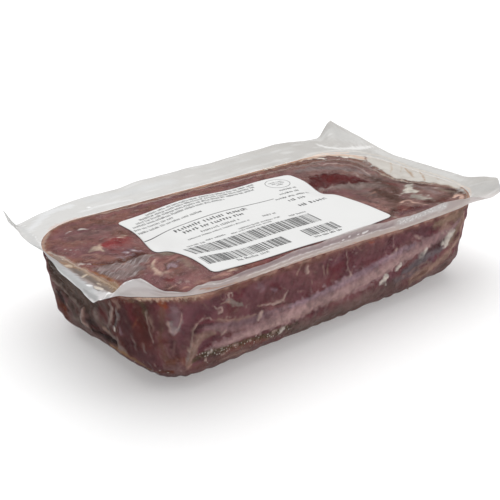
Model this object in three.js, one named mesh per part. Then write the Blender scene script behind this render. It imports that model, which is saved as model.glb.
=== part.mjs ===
// A vacuum pack of venison loin: raw meat in a formed film pouch, closed by a lid film whose sealed
// margin stands out all round the rim, with a paper label stuck on the lid.
// Millimetres. X runs along the pack and Z points up. The origin is the middle of the flat underside.

import * as THREE from "three";

// Pouch, measured at its rim
const PACK_LENGTH = 280;
const PACK_WIDTH = 148;
const PACK_HEIGHT = 58;
const RIM_CORNER = 43.5;
const WALL_TAPER = 5;
const BASE_ROUND = 24;

// Film and paper. The gaps keep touching sheets apart, and the label bridges the dips under it.
const FILM_THICKNESS = 0.4;
const LABEL_THICKNESS = 0.3;
const GAP = 0.35;
const LABEL_GAP = 1.0;

// Lid film, cut as a four-sided sheet and measured from the middle of the pack
const LID_LEFT = -151;
const LID_RIGHT = 154.5;
const LID_FRONT = -84.5;
const LID_BACK = 112;
const LID_BACK_SWEEP = 21;
const LID_LEFT_SWEEP = 6;
const LID_RIGHT_SWEEP = 5;
const LID_CORNER_TRIM = 1.62;

// Paper label
const LABEL_LENGTH = 143;
const LABEL_WIDTH = 103;
const LABEL_CORNER = 4;
const LABEL_X = -12;
const LABEL_Y = -3;

// Meat under the lid: each mound has a place, a reach and a height, which is below zero for a hollow
const MOUND_EDGE = 26;
const MOUNDS = [
  { name: "left lobe", x: -106, y: 28, reach: 26, height: 1.0 },
  { name: "seam behind the front lobe", x: -84, y: 6, reach: 20, height: -3.2 },
  { name: "front lobe", x: -82, y: -36, reach: 26, height: 3.4 },
  { name: "middle", x: -10, y: -8, reach: 36, height: 1.0 },
  { name: "back rise", x: -30, y: 40, reach: 38, height: 3.6 },
  { name: "back right rise", x: 34, y: 44, reach: 30, height: 2.0 },
  { name: "front hollow", x: 20, y: -56, reach: 30, height: -1.2 },
  { name: "right slab", x: 86, y: 38, reach: 26, height: 1.8 },
  { name: "fold across the slab", x: 60, y: 12, reach: 18, height: -2.2 },
];

// Uneven walls, where the film is drawn on to the meat
const BULGE = 1.2;
const BULGES_ROUND = 9;
const BULGE_SLANT = 0.06;

// How the margin stands round the rim. The place counts anticlockwise from the right end: each corner
// takes the first half of a unit and the straight side after it the second half. Root and tip are
// the slopes in degrees at the rim and at the free edge, and lift is how far the rim itself is pulled
// up above the pack's height.
const MARGIN_FORM = [
  { place: 0.0, root: -1, tip: -1, lift: 0 },
  { place: 0.12, root: 3, tip: 18, lift: 0 },
  { place: 0.25, root: -4, tip: 30, lift: 0 },
  { place: 0.29, root: -3, tip: -3, lift: 0 },
  { place: 0.5, root: 2, tip: 3, lift: 0 },
  { place: 0.65, root: 1, tip: 1, lift: 0 },
  { place: 0.8, root: 4, tip: 4, lift: 0 },
  { place: 0.94, root: 0, tip: 0, lift: 0 },
  { place: 1.0, root: 0, tip: -2, lift: 0 },
  { place: 1.205, root: -3, tip: -7, lift: 0 },
  { place: 1.25, root: -2, tip: 58, lift: 0 },
  { place: 1.35, root: 22, tip: 53, lift: 0 },
  { place: 1.5, root: 46, tip: 46, lift: 0 },
  { place: 1.63, root: 34, tip: 34, lift: 0 },
  { place: 1.78, root: 20, tip: 20, lift: 0 },
  { place: 1.95, root: 10, tip: 10, lift: 0.7 },
  { place: 2.05, root: -8, tip: -8, lift: 1.2 },
  { place: 2.09, root: 9, tip: 9, lift: 1.5 },
  { place: 2.13, root: 29, tip: 29, lift: 1.8 },
  { place: 2.2, root: 43, tip: 43, lift: 3.0 },
  { place: 2.25, root: 43, tip: 43, lift: 3.4 },
  { place: 2.31, root: 34, tip: 34, lift: 3.6 },
  { place: 2.36, root: 32, tip: 32, lift: 3.4 },
  { place: 2.41, root: 46, tip: 46, lift: 3.2 },
  { place: 2.45, root: 54, tip: 54, lift: 3.0 },
  { place: 2.5, root: 51, tip: 51, lift: 2.7 },
  { place: 2.56, root: 61, tip: 61, lift: 2.4 },
  { place: 2.68, root: 68, tip: 68, lift: 2.4 },
  { place: 2.71, root: 79, tip: 79, lift: 2.0 },
  { place: 2.78, root: 80, tip: 80, lift: 1.5 },
  { place: 2.83, root: 68, tip: 68, lift: 0.9 },
  { place: 2.88, root: 66, tip: 66, lift: 0.3 },
  { place: 2.95, root: 71, tip: 71, lift: 0.3 },
  { place: 3.03, root: 56, tip: 56, lift: 0.6 },
  { place: 3.14, root: 22, tip: 22, lift: 0.3 },
  { place: 3.32, root: 18, tip: 23, lift: 0 },
  { place: 3.5, root: 3, tip: 4, lift: 0 },
  { place: 4.0, root: -1, tip: -1, lift: 0 },
];

// How far in from the rim the lift of the lid fades out, and where on the wall it starts
const LIFT_REACH = 18;
const LIFT_FOOT = 20;

// Undercuts, where the meat doesn't fill the foot of the pouch: how deep they are by place round the
// rim, the height up to which they are full and the height at which they end
const UNDERCUTS = [
  { place: 0.0, depth: 0 },
  { place: 1.39, depth: 0 },
  { place: 1.62, depth: 2.5 },
  { place: 1.79, depth: 5 },
  { place: 2.07, depth: 5 },
  { place: 2.15, depth: 4.2 },
  { place: 2.22, depth: 1 },
  { place: 2.31, depth: 0 },
  { place: 2.95, depth: 0 },
  { place: 2.99, depth: 4 },
  { place: 3.02, depth: 4 },
  { place: 3.09, depth: 1.5 },
  { place: 3.22, depth: 0 },
  { place: 4.0, depth: 0 },
];
const UNDERCUT_FULL = 4;
const UNDERCUT_TOP = 26;

// Mesh fineness
const ARC_STEPS = 10;
const LONG_SIDE_STEPS = 18;
const SHORT_SIDE_STEPS = 8;
const TOP_RINGS = [0.08, 0.26, 0.44, 0.6, 0.75, 0.88, 0.96];
const WALL_RINGS = [0.12, 0.4, 0.7, 1];
const BASE_ROUND_DEGREES = [22.5, 45, 67.5, 90];
const MARGIN_RINGS = [0.12, 0.32, 0.5, 0.68, 0.86, 1];
const LABEL_RINGS = [0.12, 0.34, 0.56, 0.78, 1];

// Where across the margin the root's slope gives way to the tip's, as shares of its width
const CREASE = 0.55;
const CREASE_WIDTH = 0.25;

// Corner signs in the order of the places: back right, back left, front left, front right
const CORNERS = [
  { x: 1, y: 1 },
  { x: -1, y: 1 },
  { x: -1, y: -1 },
  { x: 1, y: -1 },
];
const TRIMMED_CORNER = 3;

function smooth(low, high, value) {
  const t = Math.min(Math.max((value - low) / (high - low), 0), 1);
  return t * t * (3 - 2 * t);
}

// The stations that every ring of the pouch and the lid has one vertex at
function makeStations() {
  const stations = [];
  CORNERS.forEach((_, corner) => {
    for (let step = 0; step < ARC_STEPS; step += 1) {
      stations.push({ corner, turn: step / ARC_STEPS, along: 0 });
    }
    const sideSteps = corner % 2 === 0 ? LONG_SIDE_STEPS : SHORT_SIDE_STEPS;
    for (let step = 0; step < sideSteps; step += 1) {
      stations.push({ corner, turn: 1, along: step / sideSteps });
    }
  });
  return stations;
}

const STATIONS = makeStations();

const placeOf = ({ corner, turn, along }) => corner + 0.5 * (turn + along);

// A point at a station: on the corner's own curve, or on the straight side that follows it
function pointAt(station, cornerCurve) {
  const start = cornerCurve(station.corner, station.turn);
  const end = cornerCurve((station.corner + 1) % CORNERS.length, 0);
  return start.lerp(end, station.along);
}

function roundedOutline(station, halfLength, halfWidth, radius) {
  return pointAt(station, (corner, turn) => {
    const angle = (corner + turn) * (Math.PI / 2);
    const x = CORNERS[corner].x * (halfLength - radius) + radius * Math.cos(angle);
    const y = CORNERS[corner].y * (halfWidth - radius) + radius * Math.sin(angle);
    return new THREE.Vector2(x, y);
  });
}

const rimPoint = (station) => roundedOutline(station, PACK_LENGTH / 2, PACK_WIDTH / 2, RIM_CORNER);

// The lid's cut edge when flat. The back and left edges sweep in towards the back left corner, the right
// edge sweeps out towards the back right corner, and the front right corner is trimmed.
function lidEdgePoint(station) {
  return pointAt(station, (corner, turn) => {
    const sign = CORNERS[corner];
    const angle = (corner + turn) * (Math.PI / 2);
    const across = Math.abs(Math.cos(angle));
    const deep = Math.abs(Math.sin(angle));
    const square = Math.max(across, deep);
    const trimmed = corner === TRIMMED_CORNER ? Math.min(1, (LID_CORNER_TRIM * square) / (across + deep)) : 1;
    const centreX = sign.x * (PACK_LENGTH / 2 - RIM_CORNER);
    const centreY = sign.y * (PACK_WIDTH / 2 - RIM_CORNER);
    const edgeX = sign.x > 0 ? LID_RIGHT : LID_LEFT;
    const edgeY = sign.y > 0 ? LID_BACK : LID_FRONT;
    const x = centreX + (edgeX - centreX) * (across / square) * trimmed;
    const y = centreY + (edgeY - centreY) * (deep / square) * trimmed;
    const left = THREE.MathUtils.clamp(x / LID_LEFT, 0, 1);
    const right = THREE.MathUtils.clamp(x / LID_RIGHT, 0, 1);
    const back = Math.max(y / LID_BACK, 0);
    const outward = (LID_LEFT_SWEEP * left + LID_RIGHT_SWEEP * right) * back ** 2;
    return new THREE.Vector2(x + outward, y - LID_BACK_SWEEP * back * left ** 2);
  });
}

// Height of the meat's top under the lid, which comes down to the rim all round
function topHeight(x, y) {
  const insideX = PACK_LENGTH / 2 - Math.abs(x);
  const insideY = PACK_WIDTH / 2 - Math.abs(y);
  const cornerX = Math.max(RIM_CORNER - insideX, 0);
  const cornerY = Math.max(RIM_CORNER - insideY, 0);
  const inCorner = cornerX > 0 && cornerY > 0;
  const inside = inCorner ? RIM_CORNER - Math.hypot(cornerX, cornerY) : Math.min(insideX, insideY);
  const mounds = MOUNDS.reduce((sum, mound) => {
    const distance = Math.hypot(x - mound.x, y - mound.y);
    return sum + mound.height * Math.exp(-((distance / mound.reach) ** 2));
  }, 0);
  return PACK_HEIGHT + mounds * smooth(0, MOUND_EDGE, inside);
}

// One value of a table at a place round the rim, eased from one listed place to the next
function valueAt(table, key, place) {
  const next = table.findIndex((entry) => entry.place > place);
  const from = table[next - 1];
  const to = table[next];
  return THREE.MathUtils.lerp(from[key], to[key], smooth(from.place, to.place, place));
}

const liftAt = (place) => valueAt(MARGIN_FORM, "lift", place);

// A closed solid from rings of equal length: side bands join them, and fans close the two ends
function solidFromRings(rings, firstCentre, lastCentre) {
  const count = rings[0].length;
  const points = [firstCentre, ...rings.flat(), lastCentre];
  const last = points.length - 1;
  const vertex = (ring, k) => 1 + ring * count + (k % count);
  const triangles = [];
  for (let k = 0; k < count; k += 1) {
    triangles.push(0, vertex(0, k), vertex(0, k + 1));
    for (let ring = 0; ring + 1 < rings.length; ring += 1) {
      triangles.push(vertex(ring, k), vertex(ring + 1, k), vertex(ring + 1, k + 1));
      triangles.push(vertex(ring, k), vertex(ring + 1, k + 1), vertex(ring, k + 1));
    }
    triangles.push(last, vertex(rings.length - 1, k + 1), vertex(rings.length - 1, k));
  }
  const geometry = new THREE.BufferGeometry();
  geometry.setAttribute("position", new THREE.Float32BufferAttribute(points.flatMap((p) => p.toArray()), 3));
  geometry.setIndex(triangles);
  geometry.computeVertexNormals();
  return geometry;
}

// Rings of the top, from the middle outwards, at a height above the meat
function topRings(lift) {
  return [...TOP_RINGS, 1].map((share) =>
    STATIONS.map((station) => {
      const rim = rimPoint(station);
      const { x, y } = rim.clone().multiplyScalar(share);
      const pulled = liftAt(placeOf(station)) * (1 - smooth(0, LIFT_REACH, rim.length() * (1 - share)));
      return new THREE.Vector3(x, y, topHeight(x, y) + pulled + lift);
    }),
  );
}

// Sealed pouch: the levels of the wall, as an inset from the rim and a height
function wallLevels() {
  const straight = PACK_HEIGHT - BASE_ROUND;
  const levels = WALL_RINGS.map((share) => ({
    inset: WALL_TAPER * share,
    height: PACK_HEIGHT - straight * share,
  }));
  for (const degrees of BASE_ROUND_DEGREES) {
    const angle = THREE.MathUtils.degToRad(degrees);
    levels.push({
      inset: WALL_TAPER + BASE_ROUND * (1 - Math.cos(angle)),
      height: BASE_ROUND * (1 - Math.sin(angle)),
    });
  }
  return levels;
}

function wallRing({ inset, height }) {
  return STATIONS.map((station) => {
    const place = placeOf(station);
    const waist = Math.sin((Math.PI * height) / PACK_HEIGHT);
    const wave = Math.sin(place * Math.PI * 0.5 * BULGES_ROUND + height * BULGE_SLANT);
    const undercut = valueAt(UNDERCUTS, "depth", place) * (1 - smooth(UNDERCUT_FULL, UNDERCUT_TOP, height));
    const drawn = inset + undercut + 0.5 * BULGE * waist * (1 - wave);
    const outline = roundedOutline(
      station,
      PACK_LENGTH / 2 - drawn,
      PACK_WIDTH / 2 - drawn,
      RIM_CORNER - drawn,
    );
    const pulled = liftAt(place) * smooth(LIFT_FOOT, PACK_HEIGHT, height);
    return new THREE.Vector3(outline.x, outline.y, height + pulled);
  });
}

function makeSealedPouch() {
  const rings = [...topRings(0), ...wallLevels().map(wallRing)];
  const top = new THREE.Vector3(0, 0, topHeight(0, 0));
  const bottom = new THREE.Vector3(0, 0, 0);
  return solidFromRings(rings, top, bottom);
}

// One ray of the margin's middle surface, from the rim to the free edge
function marginRay(station, baseHeight) {
  const start = rimPoint(station);
  const span = lidEdgePoint(station).sub(start);
  const width = span.length();
  const outward = span.divideScalar(width);
  const place = placeOf(station);
  const root = valueAt(MARGIN_FORM, "root", place);
  const tip = valueAt(MARGIN_FORM, "tip", place);
  let reach = 0;
  let rise = 0;
  let before = 0;
  return MARGIN_RINGS.map((share) => {
    const middle = (before + share) / 2;
    const folded = smooth(CREASE - CREASE_WIDTH, CREASE + CREASE_WIDTH, middle);
    const slope = THREE.MathUtils.degToRad(THREE.MathUtils.lerp(root, tip, folded));
    reach += Math.cos(slope) * width * (share - before);
    rise += Math.sin(slope) * width * (share - before);
    before = share;
    const height = baseHeight + liftAt(place) + rise;
    return new THREE.Vector3(start.x + outward.x * reach, start.y + outward.y * reach, height);
  });
}

// Surface normals at the vertices of a set of rings
function ringNormals(rings) {
  const count = STATIONS.length;
  return rings.map((ring, r) =>
    ring.map((_, k) => {
      const inner = rings[Math.max(r - 1, 0)][k];
      const outer = rings[Math.min(r + 1, rings.length - 1)][k];
      const before = ring[(k + count - 1) % count];
      const after = ring[(k + 1) % count];
      const outward = outer.clone().sub(inner);
      return outward.cross(after.clone().sub(before)).normalize();
    }),
  );
}

// Lid film: one thin sheet over the meat and out to its folded free edge
function makeLidFilm() {
  const middle = GAP + FILM_THICKNESS / 2;
  const rays = STATIONS.map((station) => marginRay(station, PACK_HEIGHT + middle));
  const margin = MARGIN_RINGS.map((_, r) => rays.map((ray) => ray[r]));
  const sheet = [...topRings(middle), ...margin];
  const normals = ringNormals(sheet);
  const side = (sign) =>
    sheet.map((ring, r) =>
      ring.map((p, k) => p.clone().addScaledVector(normals[r][k], (sign * FILM_THICKNESS) / 2)),
    );
  const rings = [...side(1), ...side(-1).reverse()];
  const centre = topHeight(0, 0) + GAP;
  const upper = new THREE.Vector3(0, 0, centre + FILM_THICKNESS);
  const lower = new THREE.Vector3(0, 0, centre);
  return solidFromRings(rings, upper, lower);
}

// Paper label: a thin sheet with rounded corners that follows the lid
function makeLabel() {
  const lift = GAP + FILM_THICKNESS + LABEL_GAP;
  const rings = (height) =>
    LABEL_RINGS.map((share) =>
      STATIONS.map((station) => {
        const outline = roundedOutline(station, LABEL_LENGTH / 2, LABEL_WIDTH / 2, LABEL_CORNER);
        const { x, y } = outline.multiplyScalar(share);
        return new THREE.Vector3(x, y, topHeight(x + LABEL_X, y + LABEL_Y) + height);
      }),
    );
  const centre = topHeight(LABEL_X, LABEL_Y) + lift;
  const upper = new THREE.Vector3(0, 0, centre + LABEL_THICKNESS);
  const lower = new THREE.Vector3(0, 0, centre);
  return solidFromRings([...rings(lift + LABEL_THICKNESS), ...rings(lift).reverse()], upper, lower);
}

function finish(color, roughness) {
  return new THREE.MeshStandardMaterial({ color, roughness, metalness: 0 });
}

function namedMesh(name, geometry, material) {
  const mesh = new THREE.Mesh(geometry, material);
  mesh.name = name;
  return mesh;
}

const pack = new THREE.Group();
const filmFinish = finish(0xd2d0cc, 0.25);
filmFinish.transparent = true;
filmFinish.opacity = 0.5;
pack.add(namedMesh("sealed_pouch", makeSealedPouch(), finish(0x6e4a48, 0.3)));
pack.add(namedMesh("lid_film", makeLidFilm(), filmFinish));
const label = namedMesh("label", makeLabel(), finish(0xeeeeee, 0.6));
label.position.set(LABEL_X, LABEL_Y, 0);
pack.add(label);

export default pack;
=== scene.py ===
"""A vacuum pack of venison loin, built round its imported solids. Metres, Z up, in the solids' frame."""

import math

import bpy
import numpy as np
from mathutils import Matrix, Vector


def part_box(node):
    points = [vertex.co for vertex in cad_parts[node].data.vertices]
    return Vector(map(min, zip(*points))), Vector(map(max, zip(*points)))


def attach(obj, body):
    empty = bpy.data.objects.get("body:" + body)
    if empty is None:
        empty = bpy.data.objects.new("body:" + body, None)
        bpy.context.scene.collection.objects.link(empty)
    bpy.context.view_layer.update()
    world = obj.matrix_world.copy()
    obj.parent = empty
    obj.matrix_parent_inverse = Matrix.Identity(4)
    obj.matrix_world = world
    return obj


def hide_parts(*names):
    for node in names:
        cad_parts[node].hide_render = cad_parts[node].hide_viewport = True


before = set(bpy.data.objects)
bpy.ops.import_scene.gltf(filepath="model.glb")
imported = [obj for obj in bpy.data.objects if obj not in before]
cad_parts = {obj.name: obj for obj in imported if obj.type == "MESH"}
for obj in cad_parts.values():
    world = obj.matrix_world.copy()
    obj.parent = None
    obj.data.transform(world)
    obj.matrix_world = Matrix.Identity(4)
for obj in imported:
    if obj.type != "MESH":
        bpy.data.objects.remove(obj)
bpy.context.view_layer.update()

# Studio
# The pack stands on a plain pale table in wide soft light, seen from a little above its near left
# corner. The lens is the one that gives the pack its perspective.

CAMERA_PLACE = (-0.3612, -0.4383, 0.2762)
CAMERA_HEADING = math.radians(-38.35)
CAMERA_DOWN = math.radians(23.17)
CAMERA_ROLL = math.radians(-0.694)
LENS_MM = 67.83
SENSOR_MM = 36.0
CAMERA_TURN = (
    Matrix.Rotation(CAMERA_HEADING, 4, "Z")
    @ Matrix.Rotation(math.pi / 2 - CAMERA_DOWN, 4, "X")
    @ Matrix.Rotation(CAMERA_ROLL, 4, "Z")
)
TABLE_SIZE = 12.0
TABLE_DROP = 0.0004
TABLE_COLOR = (0.72, 0.72, 0.72, 1)
TABLE_GRAIN = (0.705, 0.705, 0.705, 1)
# The table glows a little of its own: painted light that lightens the shadow round the pack and lights
# its underside
TABLE_GLOW = 0.26
SKY_STRENGTH = 0.45
SOFT_BOXES = (
    {"name": "overhead", "place": (0.2, 0.6, 2.2), "size": 3.2, "power": 66.0},
    {"name": "right_front", "place": (1.3, -1.0, 0.75), "size": 0.9, "power": 5.0},
    {"name": "back_left", "place": (-1.1, 0.9, 0.9), "size": 0.7, "power": 0.8},
)


class Wire:
    """An output of a shader node. Sums written with wires add the nodes that work them out."""

    def __init__(self, tree, socket=None):
        self.tree = tree
        self.socket = socket

    def node(self, kind, inputs=None, output=0, **settings):
        """Adds a node: its settings first, then the values or wires of its sockets."""
        made = self.tree.nodes.new("ShaderNode" + kind)
        for setting, value in settings.items():
            setattr(made, setting, value)
        for key, value in (inputs or {}).items():
            if isinstance(value, Wire):
                self.tree.links.new(value.socket, made.inputs[key])
            else:
                made.inputs[key].default_value = value
        return Wire(self.tree, made.outputs[output] if made.outputs else None)

    def math(self, operation, *values):
        return self.node("Math", dict(enumerate(values)), operation=operation)

    def __add__(self, other):
        return self.math("ADD", self, other)

    def __sub__(self, other):
        return self.math("SUBTRACT", self, other)

    def __rsub__(self, other):
        return self.math("SUBTRACT", other, self)

    def __mul__(self, other):
        return self.math("MULTIPLY", self, other)

    def __pow__(self, other):
        return self.math("POWER", self, other)

    __radd__ = __add__
    __rmul__ = __mul__

    def step(self, low, high):
        """0 below low, 1 above high and a soft rise between them."""
        limits = {"Value": self, "From Min": low, "From Max": high}
        return self.node("MapRange", limits, interpolation_type="SMOOTHSTEP")

    def blend(self, first, second):
        """The colour first where this wire is 0 and the colour second where it is 1."""
        return self.node("Mix", {0: self, 6: first, 7: second}, output=2, data_type="RGBA")

    def shade(self, color):
        """A colour made lighter or darker by this wire."""
        sockets = {0: 1.0, 6: color, 7: self}
        return self.node("Mix", sockets, output=2, data_type="RGBA", blend_type="MULTIPLY")

    def stretch(self, scale):
        return self.node("VectorMath", {0: self, 1: scale}, operation="MULTIPLY")

    def noise(self, size=1.0, detail=3.0, roughness=0.55):
        """Cloudy noise between 0 and 1 over this place, with patches of about the given size."""
        sockets = {"Vector": self, "Scale": 1 / size, "Detail": detail, "Roughness": roughness}
        return self.node("TexNoise", sockets)

    def bump(self, depth):
        return self.node("Bump", {"Height": self, "Distance": depth})

    def show(self):
        """Makes this shader the surface of its material."""
        self.node("OutputMaterial", {"Surface": self})


def new_material(name):
    """An empty material, and a wire to build its nodes from."""
    material = bpy.data.materials.new(name)
    material.use_nodes = True
    material.node_tree.nodes.clear()
    return material, Wire(material.node_tree)


def link(thing):
    bpy.context.scene.collection.objects.link(thing)
    return thing


def make_camera():
    lens = bpy.data.cameras.new("camera")
    lens.lens = LENS_MM
    lens.sensor_width = SENSOR_MM
    camera = link(bpy.data.objects.new("camera", lens))
    camera.matrix_world = Matrix.Translation(CAMERA_PLACE) @ CAMERA_TURN
    return camera


def make_soft_box(name, place, size, power):
    light = bpy.data.lights.new(name, "AREA")
    light.shape = "SQUARE"
    light.size = size
    light.energy = power
    lamp = link(bpy.data.objects.new(name, light))
    aim = Vector(place).to_track_quat("Z", "Y").to_matrix().to_4x4()
    lamp.matrix_world = Matrix.Translation(place) @ aim


def make_table():
    half = TABLE_SIZE / 2
    corners = [(-half, -half, 0), (half, -half, 0), (half, half, 0), (-half, half, 0)]
    mesh = bpy.data.meshes.new("table")
    mesh.from_pydata(corners, [], [(0, 1, 2, 3)])
    table = link(bpy.data.objects.new("table", mesh))
    table.location.z = -TABLE_DROP
    material, wire = new_material("pale_table")
    grain = wire.node("TexCoord", output=3).noise(0.004)
    sockets = {
        "Base Color": grain.blend(TABLE_COLOR, TABLE_GRAIN),
        "Roughness": 0.9,
        # the table's own glow: painted light that lightens the shadow round the pack
        "Emission Color": (1, 1, 1, 1),
        "Emission Strength": TABLE_GLOW,
    }
    wire.node("BsdfPrincipled", sockets).show()
    mesh.materials.append(material)
    return table


bpy.context.scene.view_settings.view_transform = "Standard"
bpy.context.scene.camera = make_camera()
for soft_box in SOFT_BOXES:
    make_soft_box(**soft_box)
sky = bpy.data.worlds.new("soft_sky")
sky.use_nodes = True
sky.node_tree.nodes["Background"].inputs["Color"].default_value = (1, 1, 1, 1)
sky.node_tree.nodes["Background"].inputs["Strength"].default_value = SKY_STRENGTH
bpy.context.scene.world = sky
make_table()

# Meat
# A boned venison loin, folded into the pouch and pressed flat against it by the vacuum: dark red
# muscle with silver skin, sinew, seams and flecks of fat, wet with its own juice.

HALF_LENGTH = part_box("sealed_pouch")[1].x
HALF_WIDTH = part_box("sealed_pouch")[1].y
RIM_HEIGHT = 0.058
RIM_CORNER = 0.0435
WALL_TAPER = 0.005
BASE_ROUND = 0.024
FILM_GAP = 0.00025
CORNER_ARC = RIM_CORNER * math.pi / 2
LONG_SIDE = 2 * (HALF_LENGTH - RIM_CORNER)
SHORT_SIDE = 2 * (HALF_WIDTH - RIM_CORNER)

# The rim's eight runs: the near left corner, the front, the near right corner and so on all round.
# Distances along it start in the middle of the near left corner.
RIM_RUNS = (CORNER_ARC, LONG_SIDE, CORNER_ARC, SHORT_SIDE) * 2
RIM_KNOTS = np.cumsum((0,) + RIM_RUNS) - CORNER_ARC / 2
RIM_LENGTH = sum(RIM_RUNS)
CENTRES_X = (HALF_LENGTH - RIM_CORNER) * np.array([-1, -1, 1, 1, 1, 1, -1, -1, -1])
CENTRES_Y = (HALF_WIDTH - RIM_CORNER) * np.array([-1, -1, -1, -1, 1, 1, 1, 1, -1])
HEADINGS = math.pi / 2 * np.array([2, 3, 3, 4, 4, 5, 5, 6, 6])
STATIONS_IN_RUNS = (108, 238, 54, 42, 48, 100, 50, 80)

# Each ring of the top draws in towards the middle line by these shares of its length and width. The
# innermost ring stops just short of it, and the rings lie closer together near the rim.
DRAWN_IN = np.array([0.62, 1.0])
INNERMOST = 0.985
RING_CROWDING = 1.3
TOP_RINGS = 64
WALL_RINGS = 42
ROUND_RINGS = 24
FLOOR_RINGS = 3

# The label holds the meat below it smooth, and a little way beside it the meat is free
LABEL_LEFT = -0.0835
LABEL_FRONT = -0.0545
LABEL_LENGTH = 0.143
LABEL_WIDTH = 0.103
LABEL_BESIDE = 0.004

# Mounds and hollows of the meat's top, in millimetres: x, y, reach and height
MOUNDS = {
    "left lobe": (-106, 26, 24, 1.4),
    "seam behind the front lobe": (-83, 7, 13, -5.6),
    "seam at the left end": (-106, -6, 12, -1.6),
    "front lobe": (-84, -36, 24, 3.8),
    "back rise": (-30, 42, 34, 4.1),
    "back right rise": (34, 46, 26, 2.3),
    "right slab": (84, 38, 24, 1.8),
    "fold across the slab": (60, 14, 11, -3.6),
    "fold to the right end": (84, 2, 12, -1.4),
    "right front rise": (64, -30, 20, 0.9),
    "middle": (-10, -8, 36, 0.9),
    "front hollow": (20, -56, 30, -1.7),
}
MOUND_EDGE = 0.026

# How the margin stands, by place round the rim: each corner takes the first half of a unit and the side
# after it the second half, from the far right corner on. After the place come the slopes in degrees at
# the rim and at the free edge, and how far the rim itself is pulled up, in millimetres.
MARGIN_FORM = np.array([
    (0.0, -1, -1, 0), (0.12, 3, 18, 0), (0.25, -4, 30, 0), (0.29, -3, -3, 0), (0.5, 2, 3, 0),
    (0.65, 1, 1, 0), (0.8, 4, 4, 0), (0.94, 0, 0, 0), (1.0, 0, -2, 0), (1.205, -3, -7, 0),
    (1.25, -2, 58, 0), (1.35, 22, 53, 0), (1.5, 46, 46, 0), (1.63, 34, 34, 0), (1.78, 20, 20, 0),
    (1.95, 10, 10, 0.7), (2.05, -8, -8, 1.2), (2.09, 9, 9, 1.5), (2.13, 29, 29, 1.8), (2.2, 43, 43, 3),
    (2.25, 43, 43, 3.4), (2.31, 34, 34, 3.6), (2.36, 32, 32, 3.4), (2.41, 46, 46, 3.2), (2.45, 54, 54, 3),
    (2.5, 51, 51, 2.7), (2.56, 61, 61, 2.4), (2.68, 68, 68, 2.4), (2.71, 79, 79, 2), (2.78, 80, 80, 1.5),
    (2.83, 68, 68, 0.9), (2.88, 66, 66, 0.3), (2.95, 71, 71, 0.3), (3.03, 56, 56, 0.6),
    (3.14, 22, 22, 0.3), (3.32, 18, 23, 0), (3.5, 3, 4, 0), (4.0, -1, -1, 0),
])
LIFT_REACH = 0.018
LIFT_FOOT = 0.020

# How far the foot of the wall is drawn in where the meat doesn't fill it, in millimetres: distance along
# the rim from the middle of the near left corner, and depth.
UNDERCUTS = np.array([
    (-110, 0), (-80, 2.5), (-60, 5), (-25, 5), (-14, 4.2), (-4, 1), (8, 0),
    (208, 0), (222, 4), (230, 4), (240, 1.5), (258, 0),
])
UNDERCUT_LOW = 0.004
UNDERCUT_HIGH = 0.026

# How far the meat stops short of the rim, in millimetres: distance along the rim and depth. The two
# films lie together over the gap, in a strip at the left end and a wide wedge at the far right.
SHORTFALL = np.array([
    (-102, 0.5), (-82, 4), (-62, 6), (-50, 6.5), (-32, 9), (-12, 7), (6, 2.5), (34, 1.8),
    (150, 1.4), (262, 1.2), (273, 2), (291, 10), (315, 23), (335, 22), (367, 11), (383, 8.5),
    (397, 1.5), (412, 1.5), (434, 4), (479, 3), (525, 3.5), (563, 1.2), (650, 0.8), (679, 0.5),
])

# How deep the meat sinks away past its edge, how the edge wanders, and where it fades from sight and
# sinks, measured inwards from it
SHORTFALL_SINK = 0.004
AT_RIM = 0.001
EDGE_WANDER = 0.0005
EDGE_SEEN = (-0.0008, 0.0016)
EDGE_SUNK = (-0.0024, -0.0006)

# The small unevenness of the film on the meat, and how it dies away at the rim and the foot
TOP_UNEVEN = 0.00035
WALL_UNEVEN = 0.0004
TOP_CALM = 0.006
WALL_CALM = 0.004
RIPPLE_WAVES = 24
RIPPLE_PITCHES = (0.6, 1.7)


def hexed(code, alpha=0.0):
    """The linear colour of a painter's hex code, with a fourth value."""
    values = np.array([int(code[i : i + 2], 16) for i in (0, 2, 4)]) / 255
    linear = np.where(values > 0.04045, ((values + 0.055) / 1.055) ** 2.4, values / 12.92)
    return np.append(linear, alpha)


def smooth(low, high, value):
    share = np.clip((value - low) / (high - low), 0, 1)
    return share * share * (3 - 2 * share)


def ripple(places, size, seed):
    """A smooth random field between about -1 and 1, with waves of about the given size."""
    random = np.random.default_rng(seed)
    waves = random.normal(size=(RIPPLE_WAVES, places.shape[-1]))
    pitches = random.uniform(*RIPPLE_PITCHES, (RIPPLE_WAVES, 1))
    waves *= pitches / np.linalg.norm(waves, axis=1, keepdims=True)
    phases = random.uniform(0, 2 * math.pi, RIPPLE_WAVES)
    return np.sin(places @ waves.T * (2 * math.pi / size) + phases).sum(-1) / math.sqrt(RIPPLE_WAVES)


def on_rim(along, inset=0.0):
    """The point at a distance along the rim, moved in by an inset, and the way out from it."""
    heading = np.interp(along, RIM_KNOTS, HEADINGS)
    out = np.stack([np.cos(heading), np.sin(heading)], axis=-1)
    centre = [np.interp(along, RIM_KNOTS, centres) for centres in (CENTRES_X, CENTRES_Y)]
    return np.stack(centre, axis=-1) + out * (RIM_CORNER - inset), out


def depth_inside(places):
    """How far points of the top lie inside the rim."""
    inside = np.array([HALF_LENGTH, HALF_WIDTH]) - np.abs(places)
    corner = np.maximum(RIM_CORNER - inside, 0)
    round_depth = RIM_CORNER - np.hypot(corner[..., 0], corner[..., 1])
    return np.where((corner > 0).all(-1), round_depth, inside.min(-1))


def top_height(places):
    """Height of the lid film over points of the plan."""
    rise = np.zeros(places.shape[:-1])
    for x, y, reach, height in MOUNDS.values():
        distance = np.hypot(places[..., 0] * 1000 - x, places[..., 1] * 1000 - y)
        rise += height / 1000 * np.exp(-((distance / reach) ** 2))
    return RIM_HEIGHT + rise * smooth(0, MOUND_EDGE, depth_inside(places))


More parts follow.
